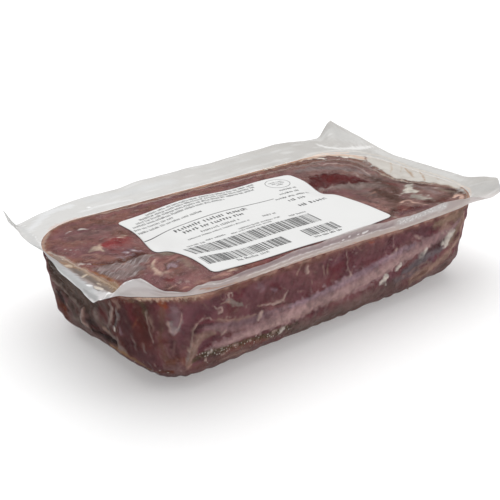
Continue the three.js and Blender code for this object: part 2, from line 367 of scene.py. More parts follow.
def beside_label(places):
    """0 under the label and 1 from a few millimetres beside it."""
    middle = np.array([LABEL_LEFT + LABEL_LENGTH / 2, LABEL_FRONT + LABEL_WIDTH / 2])
    outside = np.abs(places - middle) - np.array([LABEL_LENGTH, LABEL_WIDTH]) / 2
    return smooth(0.0, LABEL_BESIDE, outside.max(-1))


ALONG = np.concatenate([
    np.linspace(start, end, count, endpoint=False)
    for start, end, count in zip(RIM_KNOTS[:-1], RIM_KNOTS[1:], STATIONS_IN_RUNS)
])


def margin_form(column):
    """One column of the margin's table at every station, eased from one place to the next."""
    place = np.interp(ALONG, RIM_KNOTS, 2 + 0.5 * np.arange(len(RIM_KNOTS))) % 4
    knots, values = MARGIN_FORM[:, 0], MARGIN_FORM[:, column]
    after = np.clip(np.searchsorted(knots, place, side="right"), 1, len(knots) - 1)
    share = smooth(knots[after - 1], knots[after], place)
    return values[after - 1] + (values[after] - values[after - 1]) * share


RIM_LIFT = margin_form(3) / 1000
SIGNED_ALONG = np.where(ALONG > RIM_LENGTH / 2, ALONG - RIM_LENGTH, ALONG)
UNDERCUT = np.interp(SIGNED_ALONG * 1000, *UNDERCUTS.T) / 1000


def stretch_of_rim(start, end, blur=0.008):
    """1 at the stations between two distances along the rim, and 0 at the others."""
    middle, half = (start + end) / 2000, (end - start) / 2000
    away = np.abs((ALONG - middle + RIM_LENGTH / 2) % RIM_LENGTH - RIM_LENGTH / 2)
    return 1 - smooth(half - blur, half + blur, away)


def top_plan(inset):
    """Plan points of the top's rings, from the middle out to the rim."""
    shares = INNERMOST * np.linspace(1, 0, TOP_RINGS)[:, None, None] ** RING_CROWDING
    return on_rim(ALONG, inset)[0] * (1 - shares * DRAWN_IN)


def pouch_walls(inset):
    """Points and outward normals of the rings below the rim, down to the middle of the floor."""
    straight = RIM_HEIGHT - BASE_ROUND
    rings = []
    for share in np.linspace(0, 1, WALL_RINGS + 1)[1:]:
        rings.append((WALL_TAPER * share, RIM_HEIGHT - straight * share, 0.0, 0.0))
    for angle in np.linspace(0, math.pi / 2, ROUND_RINGS + 1)[1:]:
        drawn = WALL_TAPER + BASE_ROUND * (1 - math.cos(angle))
        rings.append((drawn, BASE_ROUND * (1 - math.sin(angle)), angle, 0.0))
    for share in np.linspace(0, INNERMOST, FLOOR_RINGS + 1)[1:]:
        rings.append((WALL_TAPER + BASE_ROUND, 0.0, math.pi / 2, share))
    points, normals = [], []
    for drawn, height, angle, share in rings:
        plan, out = on_rim(ALONG, drawn + inset * math.cos(angle))
        plan = plan - out * (UNDERCUT * smooth(UNDERCUT_HIGH, UNDERCUT_LOW, height))[:, None]
        height += inset * math.sin(angle)
        plan = plan * (1 - share * DRAWN_IN)
        lifted = height + RIM_LIFT * smooth(LIFT_FOOT, RIM_HEIGHT, height)
        points.append(np.column_stack([plan, lifted]))
        normals.append(np.column_stack([out * math.cos(angle), np.full(len(plan), -math.sin(angle))]))
    return np.array(points), np.array(normals)


def rings_to_mesh(name, rings, cap_start=False, cap_end=False):
    """A smooth mesh from rings of equal length, with a fan over either end."""
    rows, count = rings.shape[:2]
    first = np.arange(rows - 1)[:, None] * count + np.arange(count)
    after = np.arange(rows - 1)[:, None] * count + (np.arange(count) + 1) % count
    faces = np.stack([first, first + count, after + count, after], axis=-1).reshape(-1, 4).tolist()
    points = rings.reshape(-1, 3).tolist()
    for capped, ring, order in ((cap_start, 0, 1), (cap_end, rows - 1, -1)):
        if capped:
            loop = [ring * count + k for k in range(count)]
            faces += [(len(points), a, b)[::order] for a, b in zip(loop, loop[1:] + loop[:1])]
            points.append(rings[ring].mean(0).tolist())
    mesh = bpy.data.meshes.new(name)
    mesh.from_pydata(points, [], faces)
    mesh.shade_smooth()
    return link(bpy.data.objects.new(name, mesh))


def store(piece, name, values):
    """Keeps three or four values for each vertex of the rings on the mesh, and zeros for its caps."""
    width = values.shape[-1]
    kind, field = ("FLOAT_COLOR", "color") if width == 4 else ("FLOAT_VECTOR", "vector")
    held = np.zeros((len(piece.data.vertices), width), np.float32)
    held[: values.size // width] = values.reshape(-1, width)
    piece.data.attributes.new(name, kind, "POINT").data.foreach_set(field, held.ravel())


def curve_through(points, steps=6):
    """A smooth line through points, as its corner points."""
    padded = np.vstack([2 * points[0] - points[1], points, 2 * points[-1] - points[-2]])
    t = np.linspace(0, 1, steps, endpoint=False)[:, None]
    spans = []
    for a, b, c, d in zip(padded, padded[1:], padded[2:], padded[3:]):
        bend = 2 * a - 5 * b + 4 * c - d + t * (3 * (b - c) + d - a)
        spans.append(b + 0.5 * t * (c - a + t * bend))
    return np.vstack(spans + [points[-1:]])


# Marks are picked in the photograph, in pixels of its full frame. A pixel of a stroke's width covers
# at least and at most so much of a surface, and the stroke spreads a little in the meat. A place is
# never put farther than the last length from the nearest point of its surface.
PHOTO_SIZE = 500
LENS_PIXELS = LENS_MM / SENSOR_MM * PHOTO_SIZE
PIXEL_LIMITS = (0.00035, 0.0012)
STROKE_SPREAD = 1.1
FARTHEST_STEP = 0.0015

# What the light and the film make of the meat's own colours, at the top and on the walls
TOP_LIGHT = 1.2
TOP_VEIL = 0.028
WALL_LIGHT = 0.82
WALL_VEIL = 0.014


def palette(light, veil, **codes):
    """The meat's colours that look like these codes in this light, with their share of specks. Tones
    named for sheen, gloss or lilac are painted sheen and reflections, not the meat's own colour.
    """
    tones = {}
    for name, (code, specks) in codes.items():
        tones[name] = np.append(np.clip((hexed(code)[:3] - veil) / light, 0.004, 1), specks)
    return tones


# On the top, the sheen, gloss and lilac tones are painted sheen and reflections of the film, and white
# serves in part for painted glints
TOP_TONES = palette(
    TOP_LIGHT, TOP_VEIL,
    muscle=("815e5c", 0.3), brown=("7d5c52", 0.3), grey=("7f6b66", 0.3), plum=("78585a", 0.3),
    plum_deep=("6a4a4e", 0.2), red=("8a4a4a", 0.2), red_clear=("7f393d", 0), red_deep=("5f272b", 0),
    maroon=("68393a", 0), maroon_deep=("55262a", 0), seam=("543834", 0), dark=("584540", 0.2),
    cream=("bea898", 0.3), cream_clear=("ccb6a4", 0.3), tan=("a88478", 0.3), pale=("a69690", 0.3),
    lilac=("a8929a", 0), orange=("a87a5e", 0.3), orange_deep=("8c6249", 0.3), silver=("877876", 0),
    sheen=("7f706e", 0.2), gloss=("8d7d78", 0.2), white=("d8d2cc", 0), grey_green=("857a6e", 0),
    ochre=("94785f", 0.3), pink=("a07872", 0), bone=("bbb5ac", 0), bone_grey=("a19890", 0),
    skin_pink=("cfaea0", 0),
)

# On the walls, the lilac tones are painted sheen on the film's folds, the greyish tone 685552 laid low on
# the walls is painted sheen, black is painted shade in creases and crevices, and stone_pale serves in
# part for painted highlights on folds
WALL_TONES = palette(
    WALL_LIGHT, WALL_VEIL,
    muscle=("684849", 0.3), plum=("5f4045", 0.2), maroon=("5c3034", 0.1), maroon_dark=("421f22", 0),
    black=("2c1c1b", 0), stone=("50443f", 0), stone_dark=("413733", 0), stone_pale=("756863", 0),
    umber=("4a2a26", 0.2), rust=("70483a", 0.4), rust_brown=("74544a", 0.4), rust_dark=("553020", 0.4),
    pale=("a58f86", 0), white=("b9b0a8", 0), tan=("8b7267", 0.2), taupe=("7c645c", 0.2),
    orange=("86452e", 0.3), brown=("604640", 0.3), pink=("9d827f", 0), pink_dark=("836869", 0.1),
    lilac=("8a7680", 0), lilac_grey=("705b60", 0), olive_dark=("4c4236", 0.9), dusk=("4b3537", 0.2),
    soot=("685552", 0.2), slate=("5f575a", 0), ochre=("7d6146", 0.3), ochre_grey=("7c675a", 0.2),
    crust=("b79e8c", 0.9), rim_tan=("94756a", 0.3),
)


class Ground:
    """A surface to be marked, as the camera sees it. What is picked in the photograph becomes places on
    the surface itself, so a mark lies on it from every side."""

    def __init__(self, points, places, seen=True):
        toward = (points - np.array(CAMERA_PLACE)) @ np.array(CAMERA_TURN.to_3x3())
        pixels = PHOTO_SIZE / 2 + LENS_PIXELS * toward[..., :2] * (-1, 1) / toward[..., 2:]
        shifts = [np.stack(np.gradient(values, axis=(0, 1)), axis=-1) for values in (pixels, places)]
        self.slopes = (shifts[1] @ np.linalg.pinv(shifts[0])).reshape(-1, 2, 2)
        self.pixels = np.where(seen, pixels, np.inf).reshape(-1, 2)
        self.places = places.reshape(-1, 2)

    def route(self, picked):
        """A stroke in millimetres: places and widths, from pixels across, pixels down and width there."""
        picked = np.array(picked, float)
        ways = np.gradient(picked[:, :2], axis=0)
        ways /= np.linalg.norm(ways, axis=1, keepdims=True)
        route = []
        for (*spot, width), way in zip(picked, ways):
            away = spot - self.pixels
            near = (away**2).sum(-1).argmin()
            slope = self.slopes[near]
            step = slope @ away[near]
            step *= min(1, FARTHEST_STEP / max(np.linalg.norm(step), 1e-9))
            pixel = abs(np.linalg.det(slope)) / max(np.linalg.norm(slope @ way), 1e-9)
            width *= np.clip(pixel, *PIXEL_LIMITS) * STROKE_SPREAD
            route.append((*(self.places[near] + step), width))
        return 1000 * np.array(route)


# How strokes wander, how much wider soft ones are, and how narrow ones are worn through in places
STROKE_WANDER = 0.0003
SOFT_WIDENING = 0.3
STROKE_WEAR = 0.55
WORN_WIDTHS = (0.0025, 0.0055)


class Skin:
    """Colour, relief and a third value over a surface, marked with strokes placed in millimetres.
    The strokes wander a little and are worn through in places, as marks in meat and film are."""

    def __init__(self, places, color, tones=None):
        self.places = places.reshape(-1, 2)
        self.tones = tones or {}
        self.color = np.tile(self.tone(color), (len(self.places), 1))
        self.rise = np.zeros(len(self.places))
        self.extra = np.zeros(len(self.places))
        self.ragged = ripple(self.places, 0.007, 5) + 0.6 * ripple(self.places, 0.003, 6)
        patchy = ripple(self.places, 0.004, 7) + 0.8 * ripple(self.places, 0.0018, 8)
        self.worn = smooth(-0.6, 1.2, patchy)
        wander = [ripple(self.places, size, seed) for size, seed in ((0.006, 9), (0.007, 10))]
        self.bent = self.places + STROKE_WANDER * np.stack(wander, axis=-1)

    def tone(self, color):
        """A colour of the palette by its name, or the colour itself."""
        return self.tones[color] if isinstance(color, str) else color

    def wash(self, color, mask):
        """Lays a colour over everything, as strongly as the mask says."""
        self.color += (self.tone(color) - self.color) * mask.reshape(-1, 1)

    def mark(self, route, color, cover=0.8, soft=0.7, ragged=0.25, rise=0.0, extra=None):
        """A stroke through points of (place, place, width), with its own colour and rise."""
        line = curve_through(np.array(route, float) / 1000)
        widening = 1 + SOFT_WIDENING * soft
        widest = line[:, 2].max() * (1 + ragged) * widening
        low, high = line[:, :2].min(0) - widest, line[:, :2].max(0) + widest
        near = np.flatnonzero(((self.places > low) & (self.places < high)).all(1))
        start, way = line[:-1], line[1:] - line[:-1]
        offset = self.bent[near, None, :] - start[:, :2]
        length = np.maximum((way[:, :2] ** 2).sum(-1), 1e-12)
        t = np.clip((offset * way[:, :2]).sum(-1) / length, 0, 1)
        distance = np.linalg.norm(offset - t[..., None] * way[:, :2], axis=-1)
        half = np.maximum(start[:, 2] + t * way[:, 2], 1e-5) / 2 * widening
        reach = (distance / half).min(-1) * (1 + ragged * self.ragged[near])
        worn = STROKE_WEAR * soft * (1 - smooth(*WORN_WIDTHS, widest)) * self.worn[near]
        mask = cover * (1 - smooth(1 - soft, 1, reach)) * (1 - worn)
        self.rise[near] += rise / 1000 * mask
        self.color[near] += (self.tone(color) - self.color[near]) * mask[:, None]
        if extra is not None:
            self.extra[near] += (extra - self.extra[near]) * mask

    def lay(self, ground, marks, haze=None, extra=None):
        """Lays the marks of a table where the ground carries them. A haze makes film colours of codes."""
        for tone, cover, soft, rise, *picked in marks:
            color = haze(*tone) if haze else tone
            self.mark(ground.route(picked), color, cover, soft, rise=rise, extra=extra)

    def flecks(self, box, count, sizes, color, cover, seed):
        """Ragged spots scattered over a box of (low, low, high, high)."""
        random = np.random.default_rng(seed)
        for _ in range(count):
            x, y = random.uniform(box[:2], box[2:])
            size = random.uniform(*sizes)
            step = random.normal(0, 0.35, 2) * size
            route = [(x - step[0], y - step[1], size * 0.8), (x + step[0], y + step[1], size)]
            self.mark(route, color, cover * random.uniform(0.3, 1), ragged=0.5, rise=0.1)


# Where flecks are scattered on the top and the walls, and where froth fills the seam in the front, in
# millimetres
TOP_BOX = (-136, -70, 136, 70)
WALL_BOX = (-110, 2, 260, 56)
FROTH_BOX = (26, 16, 100, 24)

# The marks of the top, picked in the photograph. Each has its tone, cover, softness and rise in
# millimetres, and then its points: pixels across, pixels down and the stroke's width in pixels.

# The left lobe, up to the seam, with bubbles in painted lilac sheen and painted glints
LEFT_LOBE_MARKS = (
    ("brown", 0.6, 1, 0, (70, 228, 9.6), (110, 218, 8), (150, 207, 6.4)),
    ("grey", 0.45, 1, 0, (74, 236, 9.6), (96, 232, 11.2), (120, 228, 9.6)),
    ("plum", 0.6, 1, 0, (60, 222, 4.8), (90, 215, 5.6), (120, 208, 5.6), (150, 202, 4)),
    ("red", 0.5, 1, 0, (51, 229, 4), (54, 231, 5)),
    ("plum", 0.6, 1, 0, (56, 246, 8), (70, 252, 11.2), (90, 256, 11.2)),
    ("red", 0.85, 0.9, 0.5, (102, 246, 6), (110, 243.4, 9.6), (118, 241, 10.4), (127, 238.6, 6)),
    ("red_clear", 0.45, 1, 0, (103, 246, 4), (109, 244.6, 6), (116, 242.8, 5)),
    ("maroon", 0.5, 1, 0, (112, 250, 4), (122, 252, 4.8), (134, 253, 4)),
    ("cream", 0.6, 0.9, 0, (88, 252, 1), (91, 249.8, 2.4), (95, 248.4, 5), (98, 246.4, 5),
     (98.6, 243.6, 2.4)),
    ("cream", 0.95, 0.7, 0.3, (92, 249.4, 1.6), (96, 248.4, 4.4), (98.6, 246.6, 4)),
    ("cream", 0.85, 0.8, 0, (97, 248, 3), (101, 249.6, 2.4), (104.6, 250.8, 1)),
    ("tan", 0.6, 0.9, 0, (73, 242, 0.8), (77, 240.4, 1.5), (79, 238.6, 1)),
    ("tan", 0.55, 0.9, 0, (77, 240.4, 1.2), (80, 241.6, 1.5), (83, 242, 0.8)),
    ("tan", 0.5, 0.9, 0, (66, 244, 0.7), (70, 243.4, 0.9), (74, 242.4, 0.7)),
    ("pale", 0.6, 0.9, 0, (101, 241, 0.7), (103, 237.6, 0.9), (107, 235.4, 0.7)),
    ("cream", 0.75, 0.8, 0, (116.6, 238, 1.4), (118.6, 237.6, 2.6), (121, 237.2, 1.4)),
    ("cream", 0.7, 0.8, 0, (122.6, 235, 1.6), (124.6, 235.2, 2.6)),
    ("tan", 0.5, 1, 0, (108, 239, 1), (114, 237, 1)),
    ("tan", 0.4, 1, 0, (82, 256, 1.5), (92, 254, 3.2), (100, 256, 3.2)),
    # bubbles, their lilac grey a painted sheen
    ("lilac", 0.85, 0.7, 0.4, (124.6, 252.8, 1.5), (126.6, 252, 3.2), (128.6, 252, 1.8)),
    ("lilac", 0.9, 0.7, 0.5, (131, 250.8, 2.2), (133.6, 250, 4), (136, 250.6, 2.7)),
    ("lilac", 0.8, 0.8, 0.4, (138, 251.4, 1.5), (141, 250.6, 2)),
    ("lilac", 0.6, 0.9, 0, (116, 257.6, 1.5), (119, 257, 2.2), (124, 257, 1.2)),
    ("lilac", 0.6, 0.9, 0, (126, 255.4, 0.9), (130, 254.6, 1.4), (134, 253.6, 0.9)),
    ("tan", 0.7, 1, 0, (84, 260.4, 1.5), (90, 259.8, 2.2), (97, 259.8, 1.2)),
    ("pale", 0.85, 0.7, 0, (79, 264.2, 1.5), (82, 264, 2.2), (84.6, 264.4, 1.2)),
    ("pale", 0.7, 0.8, 0, (87, 264.2, 1.2), (89, 264.4, 1.2)),
    # painted glints
    ("pale", 0.8, 0.7, 0, (79, 229.6, 1), (81, 228.2, 1.7), (83, 229, 0.8)),
    ("pale", 0.8, 0.7, 0, (83.6, 228, 1.2), (86, 228.4, 1.8)),
    ("pale", 0.6, 0.8, 0, (75.6, 249.8, 1.2), (77.4, 250, 1.2)),
    ("pale", 0.5, 0.8, 0, (63.6, 248.6, 0.9), (65, 249.4, 0.9)),
    ("pale", 0.6, 0.8, 0, (129, 216.6, 1.2), (131, 216, 1.5)),
    ("pale", 0.5, 0.8, 0, (132, 210.8, 0.8), (138, 209.8, 0.9)),
    ("pale", 0.4, 0.8, 0, (112, 218, 1.5), (113, 215, 1)),
    ("seam", 0.9, 0.9, -1.4, (92, 264, 2.2), (104, 262.6, 4), (118, 260.6, 4), (132, 257, 4),
     (146, 252.6, 3.2)),
    ("orange", 0.85, 0.8, 0, (118, 261.4, 0.9), (128, 258.8, 1.4), (138, 255.8, 1.4), (146, 253.4, 1)),
    ("orange", 0.5, 0.9, 0, (92, 263, 0.9), (104, 262.8, 1), (114, 262, 0.9)),
    # painted glints
    ("white", 0.9, 0.5, 0, (78, 229.8, 0.9), (80.4, 228.8, 1.4), (82.6, 229.2, 0.9)),
    ("white", 0.9, 0.5, 0, (84, 228.2, 1), (86.6, 228.4, 1.4)),
    ("white", 0.6, 0.6, 0, (66.6, 233, 0.8), (70, 231.6, 1)),
    ("white", 0.6, 0.6, 0, (63.4, 249, 0.9), (65.4, 249.4, 0.9)),
    ("white", 0.6, 0.6, 0, (70.4, 249.8, 0.9), (71.4, 250.2, 0.9)),
    ("white", 0.7, 0.6, 0, (79, 264.2, 1.2), (83.6, 264.2, 1.4)),
    ("white", 0.6, 0.6, 0, (88, 264.4, 1), (89.6, 264.6, 1)),
    ("white", 0.6, 0.6, 0, (117.4, 238, 1), (120, 237.4, 1)),
    # painted glints on the bubbles
    ("white", 0.6, 0.6, 0, (126, 252.4, 1), (128, 252.6, 1.2)),
    ("white", 0.6, 0.6, 0, (132, 251, 1), (134.6, 250.4, 1.2)),
)

# The sheet of silver skin between the two seams
SILVER_SKIN = (
    ("silver", 0.9, 0.6, 0, (99, 268.4, 5), (112, 267, 9), (126, 265, 12), (138, 260, 10), (149, 255, 6)),
    ("silver", 0.9, 0.7, 0, (104, 272, 6), (116, 275, 11), (128, 272, 12), (138, 268, 8)),
)

# What lies on the silver skin and along its edges
SILVER_SKIN_MARKS = (
    ("grey", 0.6, 1, 0, (94, 268, 4), (104, 265, 4), (120, 263, 3.2)),
    ("tan", 0.7, 0.8, 0, (121, 264.6, 0.8), (125, 263.6, 1), (129.6, 262.4, 0.8)),
    ("orange_deep", 0.9, 0.9, 0, (92, 272, 2.2), (98, 274.6, 4), (106, 277.6, 4.8), (113, 282.6, 4.8),
     (118, 286, 3.2)),
    ("seam", 0.6, 1, -0.5, (94, 267, 4), (97, 271, 4)),
)

# The front lobe
FRONT_LOBE_MARKS = (
    ("plum", 0.6, 1, 0, (150, 262, 8), (146, 272, 9.6), (160, 284, 11.2)),
    # a painted grey sheen of the film over the top of the lobe
    ("grey_green", 0.85, 0.9, 0, (152, 254.6, 5.6), (160, 253, 9.6), (170, 253.6, 8)),
    ("grey_green", 0.5, 1, 0, (180, 258, 8), (190, 266, 9.6)),
    ("pink", 0.7, 1, 0, (156, 259, 4), (153, 264, 6.4), (156, 270, 8), (163, 273.6, 6.4),
     (169, 271, 4.8)),
    ("cream", 0.7, 1, 0.4, (155, 260, 1.8), (152, 263, 3.4), (152.6, 267, 4.4), (156, 270.6, 4.4),
     (160.6, 273, 3.4), (166, 272.8, 2.4)),
    ("tan", 0.6, 1, 0, (148, 258, 2.2), (147.6, 264, 3.2), (149, 269, 3.2)),
    ("cream_clear", 0.6, 0.9, 0, (151.6, 262.6, 1.4), (152.6, 266.6, 2), (156, 270.4, 2)),
    ("pink", 0.8, 1, 0, (159, 262, 4.8), (161, 266, 7.2), (163, 270, 4.8)),
    ("pink", 0.7, 0.9, 0, (163, 263, 1.5), (170, 258, 2.2), (178, 255, 2.2), (183, 254.4, 1.5)),
    # painted lilac sheen
    ("lilac", 0.75, 0.9, 0, (167, 269, 1.5), (170, 264.6, 4), (174, 264.6, 4.8), (176, 267, 2.2)),
    ("lilac", 0.5, 1, 0, (174, 263, 1.5), (179, 260.4, 1.8), (183, 259, 1)),
    ("maroon", 0.8, 1, 0, (166, 278, 3.2), (169, 280, 5.6), (173, 278.6, 3.2)),
    ("tan", 0.8, 0.8, 0, (167, 290, 0.9), (172, 286.6, 1.5), (178, 284.4, 1)),
    ("tan", 0.8, 0.8, 0, (181, 289, 1.2), (186, 287, 2.2), (190.6, 287.4, 1.5)),
    ("pale", 0.5, 0.9, 0, (174, 284, 1), (176, 283, 1.2)),
    ("pale", 0.5, 0.9, 0, (179, 282, 1.2), (181, 281.8, 1.2)),
    ("pale", 0.6, 0.9, 0, (186, 282, 1), (188, 281.4, 1.2)),
    ("cream", 0.8, 0.8, 0, (228, 265.6, 1.6), (232, 264.6, 2.6), (235.6, 266.6, 3.4), (233, 269.6, 3),
     (228, 271.4, 1.6)),
    ("tan", 0.7, 1, 0, (212, 277.6, 2.2), (220, 275.6, 4), (230, 273.6, 3.2)),
    ("ochre", 0.5, 1, 0, (216, 268, 3.2), (228, 268, 6.4), (240, 266, 4.8)),
    ("tan", 0.5, 1, 0, (196, 283, 3.2), (208, 280, 4)),
    ("red", 0.45, 1, 0, (236, 266, 6), (250, 262, 7), (266, 258, 6)),
    ("orange", 0.7, 0.9, 0, (292, 252.6, 1.5), (296, 251.6, 2.2)),
    ("maroon", 0.5, 1, 0, (248, 268, 4), (270, 262, 4.8), (296, 252, 4)),
)

# The right end, with its clear red slab and bands of painted sheen round it
RIGHT_END_MARKS = (
    ("brown", 0.9, 0.9, 0, (298, 164, 4), (318, 160.5, 5), (345, 160.5, 5), (366, 165, 4)),
    ("sheen", 1, 0.8, 0, (298, 170.6, 8), (318, 168, 9), (345, 168.6, 9), (364, 174, 9), (382, 181, 7)),
    ("pale", 0.9, 0.8, 0, (298, 167, 1.2), (318, 163.8, 1.6), (345, 163.8, 1.6), (358, 167, 1.6),
     (368, 173, 1.4), (372, 177, 1)),
    ("seam", 0.6, 0.9, 0, (366, 166, 3), (380, 172, 4), (396, 178, 4), (404, 181, 3)),
    ("brown", 0.6, 1, 0, (344, 170.6, 4), (356, 172.6, 5), (368, 177, 5)),
    ("maroon_deep", 1, 0.5, 0.5, (315, 185, 10), (322, 182, 18), (334, 179.6, 19), (346, 180.6, 15),
     (362, 182.4, 8)),
    ("red_deep", 0.6, 1, 0, (317, 184, 9), (326, 180.6, 15), (337, 178.6, 12)),
    ("maroon", 0.6, 0.9, 0, (340, 176, 5), (352, 178, 5), (360, 179, 3)),
    ("pale", 0.8, 0.8, 0, (344, 170.6, 1.2), (348, 170.4, 1.5)),
    ("pale", 0.7, 0.8, 0, (353, 172.6, 1.3), (356, 173.6, 1.5), (359, 176, 1.1)),
    ("plum_deep", 0.6, 1, 0, (326, 190, 6), (345, 193, 8), (366, 198, 6)),
    ("gloss", 0.85, 0.9, 1, (320, 190, 3), (332, 188.4, 4), (350, 186.8, 7), (368, 185.6, 9),
     (390, 185, 8)),
    ("pale", 0.5, 0.9, 0, (330, 186.4, 1.2), (345, 184.6, 1.6), (360, 183.4, 1.4)),
    ("dark", 0.9, 1, 0, (372, 177, 6), (386, 184, 14), (396, 190, 14), (392, 199, 10)),
    ("maroon", 0.5, 1, 0, (384, 183, 5), (396, 185, 5)),
    ("sheen", 0.6, 1, 0, (360, 190, 6), (374, 194, 8)),
    ("dark", 1, 0.9, 0, (377, 190, 8), (387, 195, 13), (397, 200, 9)),
    ("plum", 0.6, 1, 0, (345, 190, 5), (362, 191, 5)),
    ("pale", 0.7, 0.7, 0, (374, 178, 1.2), (376, 178.4, 1.2)),
    ("pale", 0.8, 0.7, 0, (377.6, 181.6, 1.4), (379.6, 181.8, 1.2)),
    ("pale", 0.6, 0.7, 0, (374.6, 173.6, 1), (376, 174.4, 1.2)),
    ("tan", 0.7, 0.9, 0, (368, 194, 1.2), (373, 193, 1.8), (374.6, 191, 1.4), (376.6, 195.6, 1.2)),
    ("pink", 0.7, 1, 0, (362, 202, 3), (374, 204, 4), (388, 209, 3)),
    ("tan", 0.7, 0.9, 0, (380, 208, 1.4), (386, 210, 1.8), (391, 214, 1.4)),
    ("dark", 0.7, 1, 0, (396, 201, 6), (394, 210, 6), (386, 216, 4)),
    ("pale", 0.9, 0.8, 0, (395.6, 194, 1.4), (399.6, 195, 1.8), (401.4, 196, 1.2)),
    ("bone", 1, 0.4, 0, (410.4, 184, 6), (409.4, 188, 8), (409, 192, 9)),
    ("bone", 1, 0.4, 0, (406.6, 192, 4), (412, 190.6, 5), (417, 190.6, 2.4)),
    ("sheen", 0.8, 1, 0, (412, 186, 4), (424, 187, 7), (436, 192, 6)),
    ("bone_grey", 1, 0.5, 0, (414.6, 195.4, 4), (420, 196.8, 6), (426.6, 198.4, 4)),
    ("bone", 0.9, 0.8, 0, (428.6, 195, 1.6), (430.6, 197.6, 1.8), (435, 200.6, 1.6), (439.6, 203.4, 1)),
    ("skin_pink", 0.8, 0.9, 0, (402, 202.6, 1.2), (405, 200.6, 1.6), (410, 200, 1.5), (414, 202, 1.4),
     (420, 203, 1.4), (427, 204.6, 1)),
    ("red_deep", 0.8, 1, 0, (403, 205, 5), (400, 211, 6), (408, 208, 5), (420, 206.6, 4)),
    ("tan", 0.6, 0.9, 0, (413, 204, 1), (408, 207, 1.2), (402, 211, 0.8)),
    ("red_deep", 0.8, 1, 0, (426, 201, 5), (436, 201, 6), (446, 199, 5)),
    ("plum_deep", 0.7, 1, 0, (400, 214, 4), (414, 210, 4), (428, 206, 3)),
    ("dark", 0.7, 1, 0, (424, 203, 4), (434, 200, 8), (446, 197, 8), (454, 194.6, 4)),
    ("grey_green", 0.7, 1, 0, (438, 187, 3), (446, 190, 5), (456, 192, 4)),
    ("dark", 0.9, 0.9, 0, (400, 182, 3), (418, 183.6, 4), (436, 186.6, 3), (452, 189.6, 4),
     (463, 193, 3)),
    ("pale", 0.8, 0.8, 0, (436, 188, 1.6), (440, 187, 2), (444, 187.8, 1.6)),
    ("dark", 0.8, 0.9, 0, (446, 193, 3), (454, 193, 3)),
    ("skin_pink", 1, 0.6, 0, (455, 196.4, 2.4), (459, 194.8, 4.4), (463, 196.4, 4), (461, 199, 2.4)),
    ("orange_deep", 0.9, 0.8, 0, (457, 201.6, 1.6), (463, 200.6, 1.8), (467, 197.6, 1.6), (466, 193, 1.4),
     (462, 190, 1.2)),
    ("bone_grey", 0.7, 0.9, 0, (391, 215, 1), (396, 217.4, 2), (400, 219, 1.2)),
    ("dark", 0.7, 0.9, 0, (378, 218, 2), (386, 218, 2), (394, 215, 2)),
)


def paint_top(plan, edge, off_meat, ground):
    """The marked skin of the meat's top, seen through the lid."""
    skin = Skin(plan, "muscle", TOP_TONES)
    skin.wash("plum", 0.45 + 0.55 * ripple(plan, 0.05, 11).clip(-0.8, 1))
    skin.wash("brown", 0.6 * smooth(0.1, 1.0, ripple(plan, 0.03, 12)))
    skin.wash("dark", 0.25 * smooth(0.3, 1.3, ripple(plan, 0.018, 13)))
    skin.wash("tan", 0.14 * smooth(0.4, 1.4, ripple(plan, 0.012, 14)))
    skin.wash("grey", 0.55 * smooth(0.03, 0.08, plan[..., 0]))
    skin.flecks(TOP_BOX, 240, (1.2, 4.0), "plum_deep", 0.5, 60)
    skin.flecks(TOP_BOX, 240, (0.8, 2.6), "grey", 0.5, 61)
    skin.flecks(TOP_BOX, 200, (0.5, 1.4), "pale", 0.5, 62)
    skin.lay(ground, LEFT_LOBE_MARKS)
    skin.lay(ground, SILVER_SKIN, extra=1)
    for marks in (SILVER_SKIN_MARKS, FRONT_LOBE_MARKS, RIGHT_END_MARKS):
        skin.lay(ground, marks)
    # the meat's edge, stained where it meets the juice
    skin.wash("orange", 0.55 * np.exp(-(((edge - 0.0004) / 0.0012) ** 2)))
    skin.wash("orange_deep", 0.2 * np.exp(-(((edge - 0.0025) / 0.002) ** 2)))
    # Past its edge the sunken meat is darkened: painted shade of the gap under the film
    skin.wash("dark", 0.7 * off_meat)
    return skin
